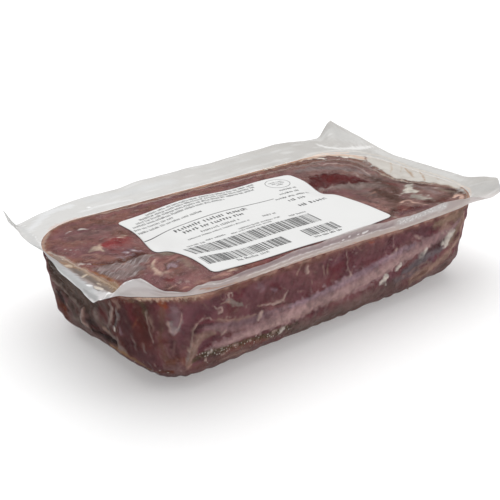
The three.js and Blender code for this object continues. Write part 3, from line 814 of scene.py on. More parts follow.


# The marks of the walls, in the same form

# The left end: a smooth web of film at the top, then dark folds over a hollow
# The web's dark grey is painted shade of the hollow under it. Highlights on the folds and shade in the
# creases are painted as marked below.
LEFT_WALL_MARKS = (
    ("stone", 1, 0.4, -1.6, (46, 262, 8), (56, 273, 12), (70, 288, 15), (84, 302, 12)),
    ("stone_dark", 0.8, 0.8, 0, (46, 260, 5), (56, 268, 6), (70, 281, 6), (84, 295, 6), (96, 306, 6)),
    ("stone", 0.9, 0.8, -1.2, (51, 276, 6), (62, 289, 8), (74, 302, 8)),
    # a painted highlight along the web's lower edge
    ("stone_pale", 0.8, 0.9, 0.6, (51, 279, 1.6), (59, 287, 2.2), (67, 296, 2.4), (74, 304, 2.4),
     (79, 308, 1.6)),
    ("umber", 0.9, 0.8, 0, (51, 288, 1.5), (56, 297, 8), (62, 306, 9), (66, 316, 6)),
    # painted shade in a fold
    ("black", 0.9, 0.8, -0.6, (57, 292, 4), (61, 298, 6), (65, 305, 5), (67, 310, 3)),
    ("rust_dark", 0.7, 1, 0, (59, 303, 4), (63, 308, 5), (66, 314, 4)),
    ("stone_pale", 0.6, 1, 0, (51, 284, 2), (53, 289, 2), (56, 292, 1.6)),
    ("pale", 0.7, 0.9, 0.3, (67, 304, 1.4), (69.5, 307.6, 1.6)),
    ("stone", 0.9, 0.9, 0, (70, 306, 6), (74, 313, 8), (78, 320, 8), (84, 325, 6)),
    # a painted highlight on a fold
    ("stone_pale", 0.7, 0.9, 0.4, (73, 318, 3), (78, 320, 4), (80, 316, 3)),
    ("stone_dark", 0.9, 0.8, 0, (85, 309, 6), (89, 314, 9), (92, 321, 7)),
    # painted shade in a crease
    ("black", 0.8, 0.9, -0.5, (86, 320, 4), (92, 324, 6), (97, 329, 5)),
    ("stone_pale", 0.8, 0.9, 0, (94, 313, 4), (96, 318, 5), (99, 322, 3)),
    # a painted highlight along a crease
    ("pale", 0.7, 0.9, 0.7, (81.6, 309, 1.6), (81.6, 314, 2.2), (82, 320, 2.2), (87, 326, 1.6),
     (94, 331, 1.1)),
    ("taupe", 0.7, 0.9, 0, (82.6, 309, 1.4), (83, 315, 1.6), (83, 320, 1.4)),
    ("maroon_dark", 0.8, 0.9, 0, (99, 309, 5), (103, 314, 6), (106, 319, 4)),
    ("stone_dark", 0.8, 1, 0, (101, 305, 5), (108, 309, 6), (109, 316, 6)),
    # painted shade in the crevice over the hollow
    ("black", 1, 0.6, -1.2, (89, 328, 1.5), (98, 333.5, 3.5), (107, 338.5, 5.5), (116, 343.6, 5.5)),
    ("maroon_dark", 0.6, 0.9, 0, (92, 327, 3), (100, 331, 4), (108, 336, 4)),
    # a painted highlight on a fold, with painted shade beside it
    ("stone_pale", 0.8, 0.8, 0.7, (110, 303, 3), (111.6, 312, 3.4), (110.6, 320, 3.4), (108, 327, 2.4)),
    ("pale", 0.5, 0.9, 0.3, (112, 307, 1.2), (112.6, 314, 1.4), (111, 320, 1)),
    ("black", 0.95, 0.8, -0.5, (115, 312, 2), (115, 319, 3), (113, 325, 2.4)),
    ("stone", 0.8, 1, 0, (98, 322, 5), (104, 327, 6), (110, 331, 5)),
    ("tan", 0.7, 1, 0.4, (103, 328, 2.4), (107, 331, 3.4), (111, 333, 2.4)),
    ("white", 0.9, 0.7, 0.3, (114, 329, 1.8), (114.4, 331, 1.8)),
    # a painted highlight on a fold
    ("stone_pale", 0.9, 0.8, 0.5, (112, 335, 3), (116, 342, 4.4), (121, 349, 4), (127, 354.6, 2.4)),
    ("ochre", 0.85, 0.8, 0, (111, 345, 2), (123, 353, 3), (136, 361, 4), (149.5, 369.5, 3)),
)

# The near left corner
NEAR_CORNER_MARKS = (
    ("dusk", 0.8, 1, 0, (122, 310, 12), (126, 330, 18), (132, 348, 16), (142, 360, 14)),
    ("taupe", 0.7, 0.9, 0.3, (115, 302, 6), (117, 306, 5), (117, 309.5, 2.4)),
    ("maroon", 0.6, 1, 0, (128, 302, 8), (130, 312, 8), (134, 322, 8)),
    ("maroon_dark", 0.7, 1, 0, (133, 314, 3), (134.5, 318, 4)),
    ("olive_dark", 0.8, 1, 0, (128, 300, 5), (138, 302, 6), (144, 308, 7), (146, 318, 5)),
    ("umber", 0.6, 1, 0, (140, 324, 7), (146, 328, 6)),
    ("rust", 0.8, 0.9, 0.3, (132.5, 327.5, 1), (136, 322, 1.6), (139, 318, 1)),
    ("taupe", 0.7, 1, 0.5, (147, 315, 4), (150, 320, 6), (152, 327, 4)),
    ("pale", 0.5, 1, 0.6, (146.5, 311, 1.4), (146.5, 319, 1.8), (148, 327, 1.8), (150.5, 335, 2),
     (154, 343, 1.2)),
    ("tan", 0.6, 1, 0, (152, 332, 1.4), (154.5, 328, 1)),
    ("brown", 0.9, 0.9, 0, (163, 300, 9), (162, 312, 8), (162, 326, 7), (160, 340, 6), (163, 352, 7),
     (170, 364, 10)),
    ("orange", 0.7, 1, 0, (158, 303, 5), (162, 304, 7), (166, 307, 5)),
    ("umber", 0.6, 1, 0, (156, 345, 3), (163, 341, 5), (168, 344, 3)),
    # a painted lilac grey sheen on a fold, with a painted highlight round it
    ("lilac_grey", 0.7, 0.9, 0.4, (174, 309, 9), (175, 318, 13), (176, 326, 10)),
    ("pale", 0.65, 1, 0.5, (167.5, 321, 2), (169.5, 328, 3.4), (173.5, 333, 4.4), (178, 329, 3.4),
     (181, 321, 2.4), (182, 314, 1.4)),
    ("lilac", 0.5, 1, 0, (171, 330, 3), (174, 334, 3), (179, 328, 2)),
    ("plum", 0.8, 1, 0, (190, 308, 12), (188, 318, 12), (184, 330, 10), (180, 342, 12)),
    ("dusk", 0.6, 1, 0, (174, 344, 10), (176, 356, 9)),
    ("stone_pale", 0.6, 1, 0.3, (131, 336, 1.2), (134, 344, 2), (136, 350, 1.4)),
    ("stone_pale", 0.6, 1, 0.3, (117, 340, 1.4), (121, 347, 2), (126, 352, 1.6)),
    ("stone_pale", 0.6, 1, 0.3, (143, 343, 1.4), (144, 349, 2), (147, 354, 1.4)),
    ("taupe", 0.6, 1, 0.3, (164, 345, 1.2), (167, 350, 2), (168, 356, 1.2)),
    ("taupe", 0.7, 1, 0.3, (163, 363, 1.6), (164, 367, 2), (166, 371, 1.2)),
    ("taupe", 0.4, 1, 0, (176, 340, 1.4), (174, 350, 1.8), (172, 360, 1.2)),
    # painted lilac grey sheen
    ("lilac_grey", 0.8, 0.8, 0.5, (119.5, 329, 3), (121, 332, 3.4)),
    ("rust_dark", 0.8, 0.8, -0.4, (157, 372, 2), (165, 372.6, 2.6), (174, 372, 2)),
    ("rust", 0.5, 1, 0, (168, 362, 6), (180, 360, 8), (190, 366, 8)),
)

# The front, above the pale band
FRONT_MARKS = (
    ("rust_brown", 0.7, 0.9, 0, (178, 300, 8), (196, 298, 9), (212, 294, 9), (230, 289, 7),
     (246, 285, 5)),
    ("brown", 0.5, 1, 0, (250, 283, 4), (280, 273, 5), (310, 262, 6), (340, 253, 5)),
    ("plum", 0.5, 1, 0, (252, 296, 12), (262, 288, 14), (280, 283, 10)),
    ("maroon", 0.6, 1, 0, (272, 285, 5), (277, 285, 6), (281, 289, 4)),
    # painted lilac sheen
    ("lilac_grey", 0.6, 1, 0, (260, 285, 7), (263, 289, 8)),
    ("lilac", 0.6, 0.9, 0, (272, 289, 3), (276, 291, 3)),
    ("maroon", 0.6, 1, 0, (328, 268, 8), (334, 270, 8), (340, 266, 8)),
    ("maroon", 0.4, 1, 0, (300, 300, 8), (316, 292, 10), (340, 276, 10)),
    ("stone_pale", 0.9, 0.6, 0.5, (227, 300, 4), (232, 301.5, 6), (238, 303.5, 4.6), (244, 306, 1.6)),
    ("tan", 0.8, 0.8, 0, (221, 304, 1.6), (226, 302.5, 2.4), (230, 301, 2)),
    ("pale", 0.8, 0.9, 0.3, (229, 298, 1.6), (229, 294.5, 2), (232, 293, 1.6), (233, 296, 1.4)),
    ("tan", 0.6, 1, 0, (220.5, 294, 1.2), (222, 299, 1.6), (225, 298, 1.2), (226, 294, 1)),
    ("taupe", 0.75, 0.9, 0.3, (204, 304, 1.4), (206, 306.5, 2), (209, 309, 1.4)),
    ("pale", 0.7, 0.9, 0.3, (213, 306, 1.2), (217, 308.5, 1.8), (221, 307.5, 2.4), (221.5, 310.5, 3),
     (218.5, 312.5, 2)),
    ("tan", 0.8, 0.9, 0, (258, 306, 2.4), (260.5, 306.5, 3), (262, 307.5, 1.6)),
    ("pale", 0.75, 0.9, 0.4, (262, 306, 1.2), (270, 304.4, 1.8), (277, 303, 2.8), (282, 300.5, 3),
     (284.5, 296, 1.8), (288.5, 291, 0.8)),
    # painted shade under the pale strand
    ("black", 0.5, 1, 0, (276, 305, 1.2), (283, 303.8, 1.4), (291, 302.4, 0.9)),
    ("tan", 0.8, 0.8, 0.3, (300, 269, 1.6), (297.6, 273, 1.6), (298, 276, 1)),
    ("pale", 0.85, 0.8, 0.3, (308.5, 266, 1.6), (307.6, 269, 3), (308, 272, 3.4)),
    ("tan", 0.65, 0.9, 0, (324, 266, 1.6), (324.6, 271, 1.6), (325, 274.5, 1.6)),
    ("tan", 0.65, 0.9, 0, (328.5, 265, 1.4), (328, 270, 1.6), (327.6, 274.5, 1.4)),
    ("tan", 0.6, 0.9, 0, (311, 281, 1.6), (313, 284, 1.6)),
    ("tan", 0.5, 1, 0, (300, 291.6, 1), (303, 289.6, 1)),
    ("tan", 0.6, 1, 0, (333, 264, 0.8), (336, 259, 0.9), (339, 255, 0.7)),
    ("pale", 0.5, 0.9, 0, (347, 249, 0.7), (347.6, 258, 0.9), (348, 266, 1.2), (350, 273, 2)),
    ("pale", 0.75, 0.9, 0.3, (351, 272, 1.6), (350, 277, 3.4), (345, 280.6, 4), (340, 283, 2)),
    ("tan", 0.7, 1, 0, (350, 274, 1.2), (352, 270, 1)),
    ("tan", 0.7, 0.9, 0, (352, 246, 1.2), (354, 249, 1.4), (353, 252.6, 1)),
    ("tan", 0.7, 0.9, 0, (357.6, 246, 1.2), (359.6, 248.6, 1.8), (362, 250.6, 1)),
    ("tan", 0.5, 1, 0, (366, 256, 0.8), (364.6, 261, 1)),
    ("orange", 0.6, 1, 0, (368, 241, 2), (371, 243, 3), (374, 242, 2)),
    ("pale", 0.55, 0.9, 0, (394.4, 232, 0.7), (394, 240, 0.9), (393.6, 247, 1.4)),
    ("pale", 0.8, 0.9, 0.3, (397, 248, 2), (394, 252.4, 3), (389, 257, 2)),
    ("tan", 0.6, 0.9, 0, (385, 251, 1.2), (387, 255, 1.4)),
    ("tan", 0.65, 0.9, 0, (402, 229, 0.9), (404, 233, 1.1), (406.6, 236.4, 0.9)),
    ("tan", 0.6, 0.9, 0, (424.6, 219, 1), (425, 222.6, 1.6), (426.6, 226, 0.9)),
    ("pale", 0.6, 0.9, 0, (448, 221, 1.2), (446.4, 224, 1.6), (444.6, 226, 1.2)),
    ("pale", 0.7, 0.8, 0, (415, 235, 2.6), (418, 237.6, 4), (421, 238.6, 2.4)),
    ("plum", 0.6, 1, 0, (360, 262, 12), (384, 250, 12), (400, 240, 12), (430, 228, 10)),
    ("maroon", 0.6, 1, 0, (366, 268, 10), (376, 262, 10), (386, 262, 7)),
    ("dusk", 0.8, 1, 0, (408, 229, 7), (422, 230, 9), (436, 227, 7)),
)

# The pale sinew band and the plates above it, with painted lilac sheen along the band
BAND_MARKS = (
    # the band's upper edge in painted lilac grey sheen
    ("lilac_grey", 0.8, 0.9, 0, (206, 326, 5), (222, 326, 8), (244, 323, 9), (264, 315, 8), (284, 309, 7),
     (296, 304, 5)),
    ("taupe", 0.5, 0.9, 0, (214, 321, 2), (230, 321.4, 2.6), (246, 319, 2.4), (260, 314, 2)),
    ("taupe", 0.8, 1, 0.7, (187, 362, 3), (190, 352, 3.4), (192, 341, 3.6), (193.4, 331, 4),
     (197, 324, 4.4)),
    ("pale", 0.55, 1, 0.4, (187, 362, 1.2), (190, 352, 1.6), (192, 341, 1.8), (193.4, 331, 2),
     (197, 324, 2.4), (203, 320, 2.6), (208, 318, 2.4), (213, 319.6, 1.6)),
    ("dusk", 0.9, 0.8, -0.5, (196, 333, 4), (200, 327, 5), (206, 325, 4), (214, 324, 2.4)),
    ("tan", 0.7, 0.9, 0.4, (218, 319.6, 1.8), (232, 319.4, 2.6), (244, 318, 1.8), (256, 314.4, 1.6)),
    ("pale", 0.5, 1, 0, (226, 317, 1), (240, 316.4, 1), (250, 315, 1)),
    ("pink_dark", 0.7, 1, 0, (206, 329, 6), (222, 329, 8), (240, 328, 8), (256, 324, 6)),
    ("stone_pale", 0.5, 1, 0, (214, 328, 2), (222, 332, 3), (228, 333, 3)),
    ("pale", 0.9, 0.7, 0.5, (261.6, 312, 2.6), (260.4, 315.6, 3.4), (258.6, 319.6, 2.6)),
    ("tan", 0.75, 0.9, 0.9, (188, 368, 5), (192, 356, 8), (196, 344, 10), (203, 336, 7), (214, 333, 5)),
    ("pale", 0.4, 1, 0, (191, 360, 1.6), (195, 346, 2), (201, 337, 2)),
    ("plum", 0.8, 0.8, -0.5, (200, 348, 5), (206, 343, 7), (216, 339, 5), (226, 336, 3)),
    ("pink_dark", 1, 0.5, 0.6, (206, 351, 5), (222, 343.6, 7), (240, 336, 9), (258, 328, 12),
     (276, 319.4, 13), (296, 311, 15), (316, 301.6, 16), (336, 292.6, 16), (352, 285, 15), (372, 275, 15),
     (390, 264, 14), (408, 253, 13), (424, 245, 12), (438, 238, 10), (450, 230, 8), (459, 220, 6)),
    ("pink", 0.7, 1, 0.7, (226, 342.6, 3), (244, 335, 5), (262, 328, 8), (282, 318.6, 9), (304, 308.6, 9),
     (326, 299, 9), (348, 289, 9), (370, 277.6, 9), (392, 265, 8), (410, 254.6, 7), (428, 245.6, 5)),
    # painted lilac sheen along the band
    ("lilac", 0.6, 1, 0, (290, 306.6, 4), (306, 300, 5), (324, 292, 6), (342, 283, 7), (360, 273.6, 7),
     (378, 263.6, 6), (396, 253.6, 5), (414, 244.6, 4)),
    ("pale", 0.5, 1, 0, (238, 338, 1), (250, 333.6, 1.2), (262, 329.6, 1)),
    ("pale", 0.4, 1, 0, (270, 325.6, 1), (290, 317.6, 1.2), (312, 308.6, 1)),
    # painted lilac grey sheen
    ("lilac_grey", 0.5, 1, 0, (250, 325, 1.4), (264, 318, 1.6), (280, 312.6, 1.4), (296, 306, 1)),
    ("lilac_grey", 0.5, 1, 0, (352, 292, 1.6), (372, 282, 2), (388, 272, 1.6)),
    ("tan", 0.6, 1, 0, (296, 317, 1.6), (314, 309, 2), (334, 300, 2), (352, 291, 1.6)),
)

# Below the band: a dark seam with juice and froth in it, then the round foot
SEAM_MARKS = (
    ("olive_dark", 0.9, 0.8, -0.6, (194, 361, 4), (206, 354, 6), (220, 350, 6), (236, 345, 5),
     (252, 340, 5), (268, 336, 5), (284, 330, 5), (298, 324, 3)),
    ("olive_dark", 0.6, 1, 0, (204, 358, 3), (216, 354, 4), (226, 351, 3)),
    # the greyish strip low on the front: painted sheen
    ("soot", 0.9, 0.9, 0, (292, 329, 6), (310, 323, 9), (336, 313, 11), (362, 301, 11), (384, 290, 10),
     (400, 281, 8)),
    ("soot", 0.5, 1, 0, (270, 338, 5), (290, 332, 5), (312, 326, 5)),
    ("rust", 0.35, 1, 0, (226, 353, 5), (240, 347, 6), (256, 342, 5), (268, 339, 3)),
    ("brown", 0.6, 1, 0, (196, 368, 6), (212, 362, 6), (228, 355, 5)),
    ("tan", 0.6, 1, 0, (224, 360, 2.4), (238, 354, 3), (248, 350, 2)),
    # more of the painted greyish sheen
    ("stone", 0.6, 1, 0, (288, 334, 6), (310, 326, 7), (336, 316, 8), (364, 304, 7)),
    ("stone_pale", 0.35, 1, 0, (294, 331, 2), (316, 323, 3), (340, 313, 3)),
    ("white", 0.9, 0.6, 0.5, (280.6, 332, 2.4), (282.6, 330.6, 4), (284.6, 330, 2.4)),
    ("white", 0.8, 0.7, 0.3, (208, 355, 1.4), (210, 352.6, 2.4), (211.6, 350.6, 1.6)),
    ("pale", 0.7, 0.8, 0.3, (273, 333, 1.6), (276, 331.6, 2.6), (278, 330, 1.4)),
    ("pale", 0.6, 0.8, 0, (222, 336, 2), (223.6, 333, 2.4), (226, 331, 1.6)),
)

# The near right corner
RIGHT_CORNER_MARKS = (
    ("white", 0.95, 0.5, 0.5, (381, 283, 2.4), (383.6, 280, 3.6), (386.6, 276, 2.4)),
    ("white", 0.9, 0.6, 0.5, (396.6, 270, 2), (398.4, 266.6, 3), (400, 263, 1.8)),
    ("white", 0.95, 0.5, 0.6, (419.6, 261, 2.4), (421, 257, 4), (423.6, 253, 4), (425.6, 248, 2.4)),
    ("slate", 0.9, 0.8, 0.4, (404, 272, 6), (416, 264, 9), (428, 255, 11), (440, 249, 9)),
    ("slate", 0.7, 1, 0, (396, 281, 6), (408, 275, 7), (418, 270, 6)),
    ("taupe", 0.6, 0.9, 0, (404, 277, 1.6), (416, 268, 2), (428, 261, 2)),
    ("dusk", 0.9, 0.8, 0, (428, 250, 6), (438, 245, 7), (444, 240, 4)),
    ("white", 0.95, 0.5, 0.7, (445.4, 246, 2.4), (446, 241, 6), (448.6, 236, 7), (452.6, 233, 5),
     (455, 230.6, 2.4)),
    ("tan", 0.85, 0.8, 0.8, (410, 279, 3), (420, 271, 5), (431, 267, 6), (442, 259, 6), (451, 249, 6),
     (458, 237, 5), (462, 224, 4), (465, 212, 3)),
    ("ochre_grey", 0.4, 1, 0, (418, 277, 2), (430, 267.6, 2.4), (442, 259.6, 2), (452, 250, 2)),
    # painted greyish sheen low on the corner
    ("soot", 0.9, 0.9, 0, (424, 280, 5), (436, 271, 8), (448, 262, 8), (456, 253, 6), (461, 243, 4)),
    ("ochre_grey", 0.7, 0.9, 0, (410, 283, 4), (420, 277, 5), (430, 272, 4)),
    ("umber", 0.6, 1, 0, (420, 274, 3), (427, 269, 3)),
    ("ochre_grey", 0.9, 0.9, 0, (436, 225, 6), (446, 220, 10), (456, 215, 12), (463, 212, 8)),
    ("tan", 0.8, 0.9, 0, (454, 211, 3), (457, 208.6, 4), (459, 212, 3)),
    ("ochre_grey", 0.8, 0.9, 0, (450, 242, 5), (456, 232, 6), (460, 222, 6)),
    ("taupe", 0.8, 0.9, 0, (440, 230, 4), (450, 226, 4)),
)

WALL_MARKS = (
    LEFT_WALL_MARKS, NEAR_CORNER_MARKS, FRONT_MARKS, BAND_MARKS, SEAM_MARKS, RIGHT_CORNER_MARKS,
)


def paint_walls(places, drop, ground):
    """The marked skin of the walls, by distance along the rim and height. The drop is the depth below
    the rim."""
    skin = Skin(places, "muscle", WALL_TONES)
    along, height = places[..., 0], places[..., 1]
    skin.wash("plum", 0.45 + 0.55 * ripple(places, 0.045, 31).clip(-0.8, 1))
    skin.wash("maroon", 0.5 * smooth(0.1, 1.3, ripple(places, 0.03, 32)))
    skin.wash("dusk", 0.4 * smooth(0.3, 1.4, ripple(places, 0.016, 35)))
    # The walls turn greyer towards the foot: a painted greyish sheen on the lower walls
    low = smooth(0.022, 0.008, height + 0.004 * ripple(places, 0.03, 33))
    skin.wash("soot", low * 0.7)
    # The left end greyer and darker: painted shade of the hollow under the film there
    skin.wash("stone", 0.6 * smooth(-0.024, -0.036, along) * smooth(-0.110, -0.100, along))
    near_corner = smooth(0.004, -0.008, along) * smooth(-0.040, -0.026, along)
    skin.wash("dusk", 0.7 * near_corner)
    dark_top = smooth(0.014, 0.030, height + 0.006 * ripple(places, 0.02, 39))
    skin.wash("umber", 0.7 * near_corner * dark_top)
    skin.flecks(WALL_BOX, 200, (1.2, 3.4), "dusk", 0.4, 63)
    skin.flecks(WALL_BOX, 200, (0.8, 2.4), "taupe", 0.35, 64)
    skin.flecks(WALL_BOX, 160, (0.5, 1.2), "pale", 0.4, 65)
    for marks in WALL_MARKS:
        skin.lay(ground, marks)
    skin.flecks(FROTH_BOX, 50, (0.4, 1.0), "pale", 0.7, 66)
    # the stained edge under the rim, and the dried crust at the near left corner
    uneven = 0.0008 * ripple(places, 0.01, 36)
    skin.wash("rust_brown", 0.45 * smooth(0.005, 0.001, drop + uneven))
    skin.wash("rim_tan", 0.75 * smooth(0.0018, 0.0008, drop + uneven))
    crusted = smooth(-0.014, -0.006, along) * smooth(0.032, 0.022, along)
    granular = 0.0009 * ripple(places, 0.003, 37) + 0.0008 * ripple(places, 0.0011, 38)
    skin.wash("crust", crusted * 0.75 * smooth(0.0030, 0.0010, drop + granular))
    return skin


outer_plan = top_plan(0.0)
depth = ((on_rim(ALONG)[0] - outer_plan) * on_rim(ALONG)[1]).sum(-1)
short = np.interp(ALONG * 1000, *SHORTFALL.T, period=RIM_LENGTH * 1000) / 1000
meat_edge = depth - short + EDGE_WANDER * ripple(outer_plan, 0.012, 3)
off_meat = (1 - smooth(*EDGE_SEEN, meat_edge)) * smooth(0, AT_RIM, depth)
sunk = (1 - smooth(*EDGE_SUNK, meat_edge)) * smooth(0, AT_RIM, depth)
lift_share = 1 - smooth(0, LIFT_REACH, depth)
top_points = np.dstack([outer_plan, top_height(outer_plan)])
top_skin = paint_top(outer_plan, meat_edge, off_meat, Ground(top_points, outer_plan))
top_relief = top_skin.rise.reshape(depth.shape) + TOP_UNEVEN * ripple(outer_plan, 0.011, 4)
top_relief *= smooth(0, TOP_CALM, depth) * beside_label(outer_plan)
top_relief += RIM_LIFT * lift_share
top_film = np.dstack([outer_plan, top_height(outer_plan) + top_relief])

wall_points, wall_normals = pouch_walls(0.0)
wall_places = np.dstack([np.broadcast_to(SIGNED_ALONG, wall_points.shape[:2]), wall_points[..., 2]])
wall_drop = RIM_HEIGHT + RIM_LIFT - wall_places[..., 1]
in_view = ((CAMERA_PLACE - wall_points) * wall_normals).sum(-1, keepdims=True) > 0
wall_skin = paint_walls(wall_places, wall_drop, Ground(wall_points, wall_places, in_view))
top_skin.color.reshape(TOP_RINGS, -1, 4)[-1] = wall_skin.color.reshape(-1, len(ALONG), 4)[0]
wall_relief = wall_skin.rise.reshape(wall_points.shape[:2]) + WALL_UNEVEN * ripple(wall_places, 0.012, 34)
wall_relief *= smooth(0, WALL_CALM, wall_places[..., 1]) * smooth(0, WALL_CALM, wall_drop)
wall_relief = wall_normals * wall_relief[..., None]


def make_meat():
    top = np.dstack([top_plan(FILM_GAP), top_film[..., 2] - FILM_GAP - SHORTFALL_SINK * sunk])
    walls = pouch_walls(FILM_GAP)[0] + wall_relief
    meat = rings_to_mesh("venison_loin", np.vstack([top, walls]), cap_start=True, cap_end=True)
    store(meat, "meat_color", np.vstack([top_skin.color, wall_skin.color]))
    grain = np.vstack([top_skin.places, wall_skin.places])
    store(meat, "grain", np.column_stack([grain, np.append(top_skin.extra, wall_skin.extra)]))
    return meat


def meat_material():
    material, wire = new_material("raw_venison")
    grain = wire.node("Attribute", output=1, attribute_name="grain")
    silver = wire.node("SeparateXYZ", {0: grain}, output=2)
    place = wire.node("TexCoord", output=3)
    color = wire.node("Attribute", output=0, attribute_name="meat_color")
    speckled = wire.node("Attribute", output=3, attribute_name="meat_color")
    slanted = grain.node("VectorRotate", {"Vector": grain, "Angle": -0.65}, rotation_type="Z_AXIS")
    strands = slanted.stretch((50, 900, 0)).noise(1.0, 3.0, 0.6)
    cloud = place.noise(0.012, 4.0, 0.6)
    mottle = place.noise(0.0035, 4.0, 0.65)
    grit = place.noise(0.0012, 2.0, 0.6)
    vein = (place.noise(0.016, 3.0, 0.6) - 0.5).math("ABSOLUTE")
    speck = place.noise(0.0014, 2.0, 0.5)
    fine = place.noise(0.0006, 2.0, 0.6)
    light = cloud.step(0.32, 0.68) * 0.45 + mottle.step(0.3, 0.7) * 0.4 + (grit + fine) * 0.3 + 0.32
    color = light.shade(color)
    color = (vein.step(0.012, 0.0) * mottle.step(0.45, 0.65) * 0.25).blend(color, tuple(hexed("a08078")))
    color = (strands.step(0.52, 0.66) * silver * 0.75).blend(color, tuple(hexed("a49b9b", 1)))
    color = (strands.step(0.48, 0.36) * silver * 0.5).blend(color, tuple(hexed("5a4a4a", 1)))
    color = (speck.step(0.62, 0.72) * speckled * 0.6).blend(color, tuple(hexed("b8a794", 1)))
    roughness = 0.28 + mottle * 0.25
    normal = (mottle * 0.6 + speck * 0.4).bump(0.0003)
    sockets = {"Base Color": color, "Roughness": roughness, "Normal": normal, "Specular IOR Level": 0.0}
    wire.node("BsdfPrincipled", sockets).show()
    return material


venison = make_meat()
venison.data.materials.append(meat_material())
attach(venison, "root")
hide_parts("sealed_pouch")

# Pouch film
# A deep tray drawn from one clear sheet. The vacuum has pulled it on to the meat, so it follows every
# bulge and stands in fine creases at the corners and the left end.

WALL_MIRROR = 0.008
WALL_GRAZING = 0.12


def film_shader(wire, tint, cloud, normal, mirror, grazing, roughness):
    """Clear glossy film: milky where the cloud mask is high, and more of a mirror at shallow angles."""
    facing = wire.node("LayerWeight", {"Blend": 0.5, "Normal": normal}, output=1)
    milk = wire.node("BsdfPrincipled", {"Base Color": tint, "Roughness": 0.5, "Normal": normal})
    gloss = wire.node("BsdfGlossy", {"Roughness": roughness, "Normal": normal})
    body = wire.node("MixShader", {0: cloud, 1: wire.node("BsdfTransparent"), 2: milk})
    return wire.node("MixShader", {0: facing ** 5 * grazing + mirror, 1: body, 2: gloss})


def make_pouch_film():
    skin = Skin(wall_places, hexed("b8b0ac", 0.012))
    # Pale streaks painted along the film's creases are painted highlights
    crease_highlight = hexed("c9c4c2", 0.42)
    skin.mark([(-69, 32, 1), (-70.5, 26, 1.6), (-69, 21, 1.4), (-62, 19, 1)], crease_highlight, 0.9, rise=0.2)
    skin.mark([(-100, 49, 1.4), (-84, 48, 1.8), (-62, 46, 1.6), (-44, 44, 1)], crease_highlight, 0.35, rise=0.2)
    skin.mark([(-25, 50, 1), (-24, 45, 1.6), (-28, 40, 1.4), (-33, 34, 1)], crease_highlight, 0.6, rise=0.2)
    skin.mark([(8, 46, 1.6), (9.4, 42, 3), (12.4, 40.4, 3), (14.6, 45, 1.4)], crease_highlight, 0.5)
    skin.mark([(19.7, 30, 1), (18, 24, 1.2), (16.6, 18, 1)], crease_highlight, 0.45)
    skin.mark([(-8, 18, 1), (-6, 14, 1.2), (-8, 10, 0.8)], crease_highlight, 0.5)
    relief = wall_normals * skin.rise.reshape(wall_points.shape[:2])[..., None]
    film = rings_to_mesh("pouch_film", wall_points + wall_relief + relief, cap_end=True)
    store(film, "film_color", skin.color)
    store(film, "film_place", np.column_stack([skin.places, skin.extra]))
    return film


def pouch_film_material():
    material, wire = new_material("pouch_film")
    place = wire.node("Attribute", output=1, attribute_name="film_place")
    tint = wire.node("Attribute", output=0, attribute_name="film_color")
    cloud = wire.node("Attribute", output=3, attribute_name="film_color")
    creases = place.stretch((110, 80, 0)).noise(1.0, 3.0, 0.5)
    film_shader(wire, tint, cloud, creases.bump(0.0003), WALL_MIRROR, WALL_GRAZING, 0.15).show()
    return material


pouch_film = make_pouch_film()
pouch_film.data.materials.append(pouch_film_material())
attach(pouch_film, "root")

# Lid film
# A flat sheet laid over the meat and welded to the pouch's flange all round. The welded margin has
# turned milky and has curled up in the cold, most of all at its four corners.

LID_LEFT = -0.151
LID_RIGHT = 0.1545
LID_FRONT = -0.0845
LID_BACK = 0.112
LID_BACK_SWEEP = 0.021
LID_LEFT_SWEEP = 0.006
LID_RIGHT_SWEEP = 0.005
LID_CORNER_TRIM = 1.62
LID_CORNER_POINTS = 33
NEAR_RIGHT_RUN = 2
MARGIN_RINGS = 30
CREASE = 0.55
CREASE_WIDTH = 0.25
LONG_WAVE = 0.0004
SHORT_WAVE = 0.00005
LID_MIRROR = 0.012
LID_GRAZING = 0.14

# Stretches of the rim, in millimetres: the wedge at the far right, the strip at the left end, the front,
# the near left corner and the left side
WEDGE = (266, 400)
LEFT_STRIP = (-104, 2)
FRONT_STRETCH = (8, 250)
CORNER_STRETCH = (-60, 26)
LEFT_STRETCH = (-110, -30)


def lid_edge():
    """Plan points of the lid's cut edge when flat, at every station."""
    table = []
    for run in (0, 2, 4, 6):
        centre = np.array([CENTRES_X[run], CENTRES_Y[run]])
        side = LID_RIGHT if centre[0] > 0 else LID_LEFT
        far = np.array([side, LID_BACK if centre[1] > 0 else LID_FRONT])
        for along in np.linspace(RIM_KNOTS[run], RIM_KNOTS[run + 1], LID_CORNER_POINTS):
            way = np.abs(on_rim(along)[1])
            trim = min(1, LID_CORNER_TRIM * way.max() / way.sum()) if run == NEAR_RIGHT_RUN else 1
            x, y = centre + (far - centre) * way / way.max() * trim
            left, right = (min(max(x / edge, 0), 1) for edge in (LID_LEFT, LID_RIGHT))
            back = max(y / LID_BACK, 0)
            outward = (LID_LEFT_SWEEP * left + LID_RIGHT_SWEEP * right) * back**2
            table.append((along, x + outward, y - LID_BACK_SWEEP * back * left**2))
    along, *places = np.array(table).T
    return np.column_stack([np.interp(ALONG, along, place, period=RIM_LENGTH) for place in places])


